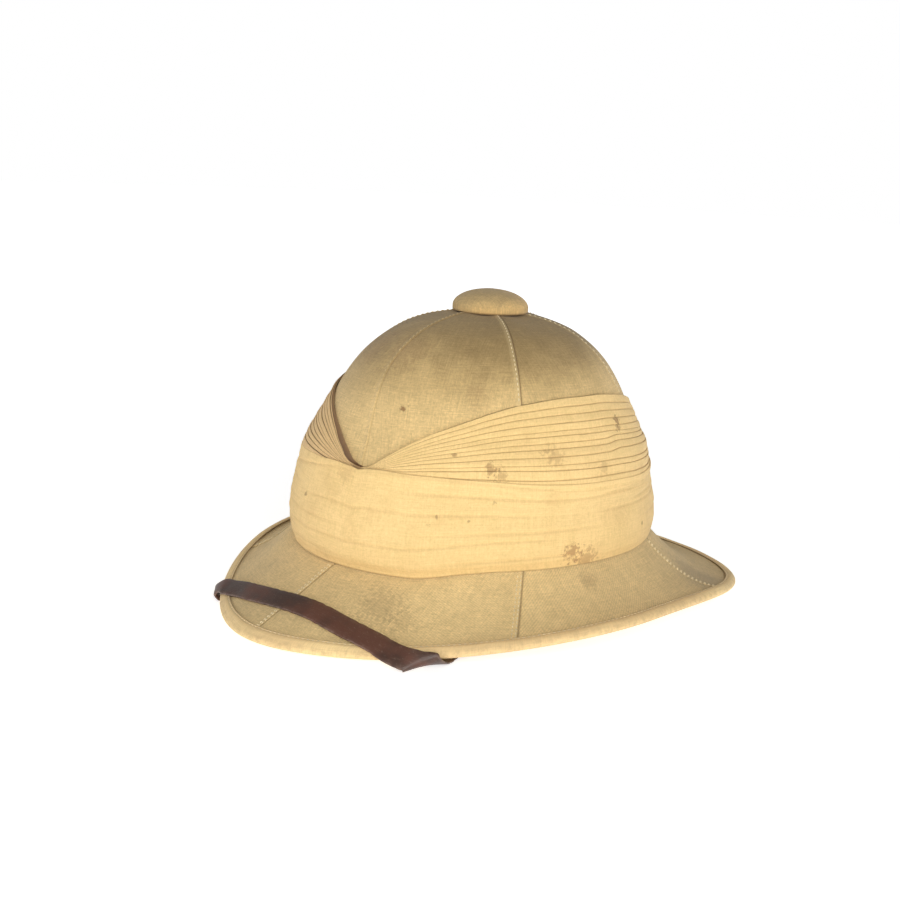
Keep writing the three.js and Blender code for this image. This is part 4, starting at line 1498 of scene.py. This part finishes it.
        # The turned-in rows carry painted shade, a dark line along the fan's top edge against the
        # crown.
        crease = np.concatenate([np.full((2, len(turn)), 0.6), crease])
        z = np.concatenate([turned_in[..., 2], z])
        steps = np.linalg.norm(np.diff(points, axis=0), axis=2).mean(axis=1)
        along = np.concatenate([[0], np.cumsum(steps)])
        # The painted shade in the pleats is deepest near the front gather, most on the left fan.
        near = 0.35 + 0.65 * np.exp(-(away(turn, FORM.gather) / np.radians(26)) ** 2)
        strength = near if side is Side.LEFT else 0.75 + 0.25 * near
        return Cloth(points, np.broadcast_to(105.0 * turn[None], z.shape),
                     np.broadcast_to(along[:, None], z.shape), round_columns=False,
                     flip=side is Side.LEFT, fields={"crease": crease * strength[None]})

    def build_fan(self, side: Side, muslin: bpy.types.Material) -> bpy.types.Object:
        """Make one pleated fan.

        Args:
            side: the wearer's side.
            muslin: finish of the cloth.

        Returns:
            The fan.
        """
        word = side.name.lower()
        piece = self.fan(side).piece(f"scarf_pleats_{word}")
        keep(piece, muslin, "cream_muslin", f"scarf_folds_{word}")
        return piece


@dataclass
class VentCap:
    """Cloth-covered cap over the vent: a low dome with a short upright lip.

    Attributes:
        radius: half its width.
        height: height of the dome over its lower edge.
        lip: height of the upright part.
        base: height of its lower edge over the table.
        hollow: depth of the recess below.
        wall: breadth of the ring round the recess.
    """

    radius: float = 22.4
    height: float = 13.2
    lip: float = 3.4
    base: float = 166.3
    hollow: float = 1.8
    wall: float = 3.0

    def build(self, canvas: bpy.types.Material) -> None:
        """Make the cap by turning its profile, with slight folds where the cloth is drawn under.

        Args:
            canvas: finish of the cloth.
        """
        arc = np.linspace(0.0, 0.5 * np.pi, 40)
        dome_r = self.radius * np.clip(np.cos(arc), 0, 1) ** 0.9
        dome_z = self.lip + (self.height - self.lip) * np.sin(arc) ** 1.1
        dome_r[-1] = 0.0
        low = np.array([[0.0, self.hollow], [10.0, self.hollow], [self.radius - self.wall, self.hollow],
                        [self.radius - self.wall, 0.4], [self.radius - 1.6, 0.0],
                        [self.radius - 0.6, 0.12], [self.radius - 0.12, 0.6],
                        [self.radius - 0.02, 1.4], [self.radius, 2.4]])
        profile = np.concatenate([low, np.stack([dome_r, dome_z], -1)])
        turns = np.linspace(0.0, TURN, 145)
        radius, turn = profile[:, :1] + 0 * turns[None], turns[None] + 0 * profile[:, :1]
        z = profile[:, 1:] + 0 * turns[None]
        on_lip = (np.exp(-((z - 2.0) / 2.2) ** 2) * (radius > self.radius - 2))
        radius = radius + 0.16 * on_lip * drift(9 * np.sin(turn), 9 * np.cos(turn), 3)
        z = z + 0.25 * ease(0.0, 12.0, radius) * drift(1.6 * np.sin(turn), 1.6 * np.cos(turn), 8)
        y = float(FORM.centre_y(np.array(FORM.crown_z[-1])))
        points = np.stack([radius * np.sin(turn), y - radius * np.cos(turn), self.base + z], -1)
        steps = np.hypot(*np.diff(profile, axis=0).T)
        along = np.broadcast_to(np.concatenate([[0], np.cumsum(steps)])[:, None], radius.shape)
        # The seam value here is painted shadow: a dark line round the foot of the lip, where the cap
        # stands over the crown.
        fields = {"seam": 0.9 * np.exp(-((z - 0.2) / 0.5) ** 2) * (radius > 8), "strip": 0 * z}
        # The cloth lies straight across the dome, so its threads follow the plan.
        cloth = Cloth(points, points[..., 0] + 0 * along, points[..., 1], fields=fields, flip=False)
        piece = cloth.piece("vent_cap_cloth")
        close_poles(piece)
        keep(piece, canvas, "khaki_canvas", "vent_cap")


@dataclass
class ChinStrap:
    """Leather strap from a rivet inside the crown, under the brim, up and over its front.

    Attributes:
        width: width of the strap.
        thickness: thickness of the leather.
        route: middle line with the plan direction of the cross line and its slope, in degrees.
        per_row: stations between two rows of the route.
    """

    width: float = 13.0
    thickness: float = 1.6
    per_row: int = 14
    route: tuple[tuple[float, float, float, float, float], ...] = (
        (-87.2, -2.0, 66.0, 90, 0), (-87.8, -2.5, 54.0, 90, 0), (-86.8, -7.0, 42.0, 92, 0),
        (-81.5, -23.0, 30.5, 130, 0), (-80.0, -46.0, 20.5, 172, 0), (-80.0, -72.0, 11.5, 180, 0),
        (-78.5, -98.0, 3.8, 178, 0), (-75.5, -118.0, 1.1, 165, 0), (-72.4, -130.0, 1.05, 145, 0),
        (-71.6, -138.0, 1.2, 139, 0), (-70.8, -141.2, 4.8, 139, 2), (-64.4, -141.8, 9.2, 132, 8),
        (-55.0, -143.2, 11.0, 108, 20), (-44.0, -144.2, 13.0, 96, 25),
        (-27.0, -147.6, 15.8, 92, 26), (-9.0, -148.6, 17.8, 90, 26), (9.0, -147.4, 18.4, 90, 26),
        (22.0, -146.2, 17.5, 88, 27), (36.0, -144.6, 14.8, 82, 26), (49.0, -142.6, 12.4, 80, 24),
        (60.0, -140.8, 10.2, 94, 27), (70.5, -139.6, 7.6, 102, 38), (79.6, -137.2, 6.2, 86, 42),
        (85.6, -132.6, 4.9, 50, 28), (86.0, -124.2, 2.8, 26, 11), (81.8, -113.0, 1.3, 7, 0),
        (79.0, -98.0, 3.8, 2, 0), (80.0, -72.0, 11.5, 0, 0), (80.0, -46.0, 20.5, 8, 0),
        (81.5, -23.0, 30.5, 50, 0),
        (86.8, -7.0, 42.0, 88, 0), (87.8, -2.5, 54.0, 90, 0), (87.2, -2.0, 66.0, 90, 0))

    def line(self, place: Array) -> tuple[Array, Array]:
        """Middle line and its direction at places counted in rows.

        Between two rows it is the cubic through them whose tangents are those of a centripetal
        spline, so it doesn't swing wide at short steps.

        Args:
            place: places from 0 to the last row.

        Returns:
            The points and unit tangents.
        """
        rows = np.array(self.route)[:, :3]
        padded = np.concatenate([[2 * rows[0] - rows[1]], rows, [2 * rows[-1] - rows[-2]]])
        knot = np.sqrt(np.linalg.norm(np.diff(padded, axis=0), axis=1))
        row = np.clip(np.floor(place).astype(int), 0, len(rows) - 2)
        t = (place - row)[:, None]
        p0, p1, p2, p3 = (padded[row + k] for k in range(4))
        d0, d1, d2 = (knot[row + k][:, None] for k in range(3))
        m1 = ((p1 - p0) / d0 - (p2 - p0) / (d0 + d1) + (p2 - p1) / d1) * d1
        m2 = ((p2 - p1) / d1 - (p3 - p1) / (d1 + d2) + (p3 - p2) / d2) * d1
        c2, c3 = 3 * (p2 - p1) - 2 * m1 - m2, 2 * (p1 - p2) + m1 + m2
        way = m1 + 2 * c2 * t + 3 * c3 * t**2
        return p1 + m1 * t + c2 * t**2 + c3 * t**3, way / np.linalg.norm(way, axis=1, keepdims=True)

    def build(self, leather: bpy.types.Material) -> None:
        """Make the strap: a rounded flat section, thinner at its cut edges, along the route.

        Args:
            leather: finish of the strap.
        """
        last = len(self.route) - 1
        place = np.linspace(0.0, last, last * self.per_row + 1)
        middle, way = self.line(place)
        table = np.array(self.route)
        swing = np.radians(np.interp(place, np.arange(last + 1), table[:, 3]))
        tilt = np.radians(np.interp(place, np.arange(last + 1), table[:, 4]))
        level = np.cos(tilt)
        across = np.stack([np.cos(swing) * level, np.sin(swing) * level, np.sin(tilt)], -1)
        face = np.cross(across, way)
        size = np.linalg.norm(face, axis=1, keepdims=True)
        face /= size
        run = np.concatenate([[0], np.cumsum(np.linalg.norm(np.diff(middle, axis=0), axis=1))])
        w = np.array([-1, -0.97, -0.86, -0.5, 0, 0.5, 0.86, 0.97, 1, 0.97, 0.86, 0.5, 0, -0.5,
                      -0.86, -0.97])
        h = np.array([0, 0.55, 0.92, 1, 1, 1, 0.92, 0.55, 0, -0.55, -0.92, -1, -1, -1, -0.92,
                      -0.55])
        edge_wear = 0.22 * np.clip(drift(0.55 * run[None], 3.0 * np.sign(w)[:, None], 51, 9),
                                   0, None)
        side = np.sign(w)[:, None]
        half = 0.5 * self.width * w[:, None] - side * edge_wear * (np.abs(w) > 0.9)[:, None]
        uneven = 1 - 0.06 * (1 + drift(0.2 * run[None], w[:, None], 52))
        thick = 0.5 * self.thickness * h[:, None] * uneven
        points = (middle[None] + (across / size)[None] * half[..., None]
                  + face[None] * thick[..., None])
        ends = [points.mean(axis=0)[0], points.mean(axis=0)[-1]]
        points = np.concatenate([np.broadcast_to(ends[0], points[:, :1].shape), points,
                                 np.broadcast_to(ends[1], points[:, :1].shape)], 1)
        run = np.concatenate([[0], run, [run[-1]]])
        points = points.transpose(1, 0, 2)
        points = np.concatenate([points, points[:, :1]], 1)
        shape = points.shape[:2]
        wide = np.append(0.5 * self.width * w, 0.5 * self.width * w[0])
        edge = np.append(ease(0.80, 0.97, np.abs(w)), 1.0)
        cloth = Cloth(points, np.broadcast_to(wide[None], shape),
                      np.broadcast_to(run[:, None], shape),
                      fields={"edge": np.broadcast_to(edge[None], shape)})
        piece = cloth.piece("chin_strap_leather")
        close_poles(piece)
        work = bmesh.new()
        work.from_mesh(piece.data)
        bmesh.ops.recalc_face_normals(work, faces=work.faces)
        work.to_mesh(piece.data)
        work.free()
        LOG.info("strap length %.0f mm", run[-1])
        keep(piece, leather, "brown_leather", "chin_strap")


@dataclass
class Studio:
    """White floor, soft lights and the camera at eye level in front and to the wearer's left.

    Attributes:
        eye: place of the camera in millimetres.
        azimuth: way to the camera round the hat, in degrees from the front.
        elevation: its height angle over the level.
        roll: how far it is tipped over.
        lens: focal length in millimetres.
    """

    eye: tuple[float, float, float] = (519.46, -593.90, 246.98)
    azimuth: float = 42.43
    elevation: float = 11.83
    roll: float = 2.76
    lens: float = 53.5

    def camera(self) -> None:
        """Set up the camera from its place and three angles."""
        az, el, roll = (np.radians(a) for a in (self.azimuth, self.elevation, self.roll))
        back = Vector((np.cos(el) * np.sin(az), -np.cos(el) * np.cos(az), np.sin(el)))
        level = Vector((np.cos(az), np.sin(az), 0.0))
        upright = back.cross(level)
        right = level * np.cos(roll) + upright * np.sin(roll)
        up = upright * np.cos(roll) - level * np.sin(roll)
        turned = Matrix((right, up, back)).transposed().to_4x4()
        data = bpy.data.cameras.new("camera")
        data.lens, data.sensor_width = self.lens, 36.0
        camera = bpy.data.objects.new("camera", data)
        camera.matrix_world = Matrix.Translation(Vector(self.eye) * MM) @ turned
        bpy.context.scene.collection.objects.link(camera)
        bpy.context.scene.camera = camera

    def lamp(self, name: str, place: tuple[float, float, float], size: float, power: float,
             color: tuple[float, float, float]) -> None:
        """Add one soft lamp aimed at the hat.

        Args:
            name: the lamp's name.
            place: its place in metres.
            size: width of the square lamp in metres.
            power: its power in watts.
            color: its colour.
        """
        data = bpy.data.lights.new(name, "AREA")
        data.energy, data.size, data.color = power, size, color
        lamp = bpy.data.objects.new(name, data)
        lamp.location = place
        aim = Vector((0, 0, 0.08)) - Vector(place)
        lamp.rotation_euler = aim.to_track_quat("-Z", "Y").to_euler()
        bpy.context.scene.collection.objects.link(lamp)

    def build(self, effects: Effects) -> None:
        """Make the floor, the surroundings, the lamps and the camera."""
        mesh = bpy.data.meshes.new("floor")
        reach = 9.0
        mesh.from_pydata([(-reach, -reach, -0.0006), (reach, -reach, -0.0006),
                          (reach, reach, -0.0006), (-reach, reach, -0.0006)], [], [(0, 1, 2, 3)])
        floor = bpy.data.objects.new("floor", mesh)
        bpy.context.scene.collection.objects.link(floor)
        dress = Dresser("floor_paper", effects)
        fibre = noise(dress.tree, dress.place, 900.0, 2.0)
        color = blend(dress.tree, fibre, (0.80, 0.80, 0.80, 1.0), (0.82, 0.82, 0.82, 1.0))
        far = place_node(dress.tree, "VectorMath", {0: dress.place}, operation="LENGTH")
        glow = spread(dress.tree, far.outputs["Value"], 0.45, 1.8, 0.68, 0.95)
        lit = place_node(dress.tree, "CombineColor", {0: glow, 1: glow, 2: glow}).outputs[0]
        paper = dress.finish(color, 0.9, fibre, 0.00002, 0.1, Specular_IOR_Level=0.1,
                             Emission_Strength=1.0)
        dress.tree.links.new(lit, dress.shader.inputs["Emission Color"])
        mesh.materials.append(paper)
        floor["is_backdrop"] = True
        world = bpy.data.worlds.new("studio")
        bpy.context.scene.world = world
        world.use_nodes = True
        tree = world.node_tree
        backdrop = tree.nodes["Background"]
        backdrop.inputs["Color"].default_value = (1.0, 1.0, 1.0, 1.0)
        backdrop.inputs["Strength"].default_value = 1.0
        toward = place_node(tree, "SeparateXYZ", {0: place_node(tree, "TexCoord").outputs[0]})
        sky = spread(tree, toward.outputs[2], 0.0, 0.9, 0.50, 0.16)
        grey = place_node(tree, "CombineColor", {0: sky, 1: sky, 2: sky}).outputs[0]
        tree.links.new(grey, backdrop.inputs["Color"])
        seen = place_node(tree, "Background", {"Color": (1.0, 1.0, 1.0, 1.0), "Strength": 1.0})
        rays = place_node(tree, "LightPath")
        mixed = place_node(tree, "MixShader", {0: rays.outputs["Is Camera Ray"],
                                               1: backdrop.outputs[0], 2: seen.outputs[0]})
        tree.links.new(mixed.outputs[0], tree.nodes["World Output"].inputs[0])
        self.lamp("key", (1.48, -1.14, 0.74), 1.0, 23.5, (1.0, 0.985, 0.94))
        self.lamp("fill", (-1.20, -1.30, 0.55), 1.3, 6.0, (1.0, 0.99, 0.96))
        self.lamp("back", (-0.9, 1.6, 1.0), 1.2, 2.5, (1.0, 1.0, 1.0))
        self.camera()
        bpy.context.scene.view_settings.view_transform = "Standard"
        LOG.info("studio ready")


CROWN_STAINS = (
    StainAndShade((22.0, -89.0, 120.5), 2.2, 0.75), StainAndShade((24.5, -88.0, 122.0), 1.6, 0.65),
    StainAndShade((65.0, -5.0, 144.4), 1.2, 0.6), StainAndShade((65.0, 5.0, 144.3), 1.5, 0.7),
    StainAndShade((52.0, -62.0, 128.0), 9.0, 0.16), StainAndShade((5.0, -70.0, 150.0), 16.0, 0.20),
    StainAndShade((-30.0, 60.0, 140.0), 12.0, 0.2), StainAndShade((-28.0, -62.0, 148.0), 20.0, 0.22, ragged=0.3),
    StainAndShade((-70.0, -10.0, 135.0), 3.0, 0.45),
)
BAND_STAINS = (
    StainAndShade((99.0, -32.0, 47.0), 6.5, 0.62, (0.36, 0.17, 0.07), 0.9),
    StainAndShade((101.0, -20.0, 41.0), 9.0, 0.50, (0.38, 0.20, 0.085), 0.9),
    StainAndShade((55.0, -100.0, 64.0), 1.6, 0.55), StainAndShade((57.0, -96.0, 68.5), 1.3, 0.55),
    StainAndShade((70.0, -85.0, 67.0), 1.2, 0.5), StainAndShade((-28.0, -113.0, 67.0), 2.0, 0.55),
    StainAndShade((77.0, -73.0, 77.0), 1.6, 0.5), StainAndShade((98.0, 34.0, 53.0), 1.5, 0.55),
    StainAndShade((100.0, 8.0, 62.0), 10.0, 0.16, (0.5, 0.3, 0.13)),
    StainAndShade((4.0, -113.0, 84.5), 7.0, 0.30, (0.45, 0.28, 0.13)),
    StainAndShade((-95.0, 20.0, 60.0), 7.0, 0.3), StainAndShade((20.0, 110.0, 55.0), 8.0, 0.25),
)
FAN_STAINS_AND_SHADE = (
    StainAndShade((84.0, 22.0, 113.0), 4.0, 0.70, (0.27, 0.14, 0.06), 0.9),
    StainAndShade((86.0, 21.0, 108.5), 3.4, 0.62, (0.27, 0.14, 0.06), 0.9),
    StainAndShade((87.0, -37.0, 98.6), 7.0, 0.38, (0.45, 0.27, 0.12), 0.8),
    StainAndShade((87.0, -40.0, 103.5), 6.0, 0.26, (0.45, 0.27, 0.12), 0.8),
    StainAndShade((56.0, -83.0, 100.0), 2.0, 0.55), StainAndShade((72.0, -71.0, 93.0), 4.0, 0.5, ragged=0.9),
    StainAndShade((76.0, -68.0, 90.0), 5.0, 0.36, ragged=0.9), StainAndShade((96.0, -4.0, 90.0), 5.0, 0.22),
    # The last mark is painted shadow in the pocket at the front gather, where the pleats go in under
    # the wrap.
    StainAndShade((9.0, -108.0, 87.5), 5.0, 0.55, (0.20, 0.10, 0.045), 0.4),
)
BRIM_STAINS_AND_SHADE = (
    StainAndShade((45.0, -124.0, 24.0), 15.0, 0.30, (0.27, 0.18, 0.09), 0.8),
    StainAndShade((60.0, -122.0, 18.0), 10.0, 0.24, (0.27, 0.18, 0.09), 0.8),
    StainAndShade((106.0, -24.0, 33.0), 8.0, 0.32, (0.30, 0.19, 0.10), 0.7),
    StainAndShade((-100.0, 70.0, 24.0), 16.0, 0.2), StainAndShade((30.0, 150.0, 12.0), 14.0, 0.22),
    # The last mark is painted shade: a broad grey-brown darkening of the brim's far side, which is
    # turned from the lamps.
    StainAndShade((114.0, 86.0, 20.0), 30.0, 0.45, (0.26, 0.20, 0.13), 0.2),
)


def main() -> None:
    """Build the helmet's pieces in order, then the studio, and note the model's size."""
    logging.basicConfig(level=logging.INFO, format="%(name)s %(message)s")
    effects = Effects()
    crown_canvas = Canvas("khaki_canvas_crown", stains_and_shade=CROWN_STAINS).build(effects)
    brim_canvas = Canvas("khaki_canvas_brim", light=(0.745, 0.548, 0.262), brown_and_shade_from=400.0,
                         brown_and_shade_full=500.0, pitch=1.7, twill=1.2, seed=0.8,
                         stains_and_shade=BRIM_STAINS_AND_SHADE).build(effects)
    # The cap's canvas darkens over its top, for browning and painted shade together.
    cap_canvas = Canvas("khaki_canvas_cap", light=(0.76, 0.50, 0.205), dark=(0.52, 0.37, 0.17),
                        brown_and_shade_from=168.0, brown_and_shade_full=186.0, seed=1.7).build(effects)
    pale_thread = Thread("pale_thread", (0.94, 0.80, 0.52)).build(effects)
    canvas_thread = Thread("faded_thread", (0.70, 0.53, 0.28)).build(effects)
    edge_thread = Thread("edge_thread", (0.86, 0.70, 0.44)).build(effects)
    Crown().build(crown_canvas, pale_thread, canvas_thread)
    Brim().build(brim_canvas, pale_thread)
    Binding().build(Tape("cream_binding_tape").build(effects), edge_thread)
    scarf = Scarf()
    scarf.build_band(Muslin("cream_muslin_band", stains_and_shade=BAND_STAINS).build(effects))
    scarf.build_fan(Side.LEFT, Muslin("cream_muslin_left", seed=0.4, fold_shade_strength=1.0,
                                      stains_and_shade=FAN_STAINS_AND_SHADE).build(effects))
    # The right fan's one mark is the painted shadow in the pocket at the front gather.
    scarf.build_fan(Side.RIGHT, Muslin("cream_muslin_right", light=(0.76, 0.52, 0.25), seed=1.1,
                                       fold_shade_strength=1.0, stains_and_shade=FAN_STAINS_AND_SHADE[-1:]).build(effects))
    VentCap().build(cap_canvas)
    ChinStrap().build(Leather("brown_strap_leather").build(effects))
    brass = Brass("aged_brass_fittings").build(effects)
    for name in ("vent_post", "strap_stud_left", "strap_stud_right"):
        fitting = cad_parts[name]
        fitting = bpy.data.objects[fitting] if isinstance(fitting, str) else fitting
        for slot in fitting.material_slots:
            slot.material = brass
        LOG.info("%s: brass", name)
    Studio().build(effects)
    sizes = {"cad": [list(map(float, corner)) for corner in CAD_BOX],
             "visual": [list(map(float, corner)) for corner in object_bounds()]}
    LOG.info("box of the model: %s", sizes["visual"])


if __name__ == "__main__":
    main()
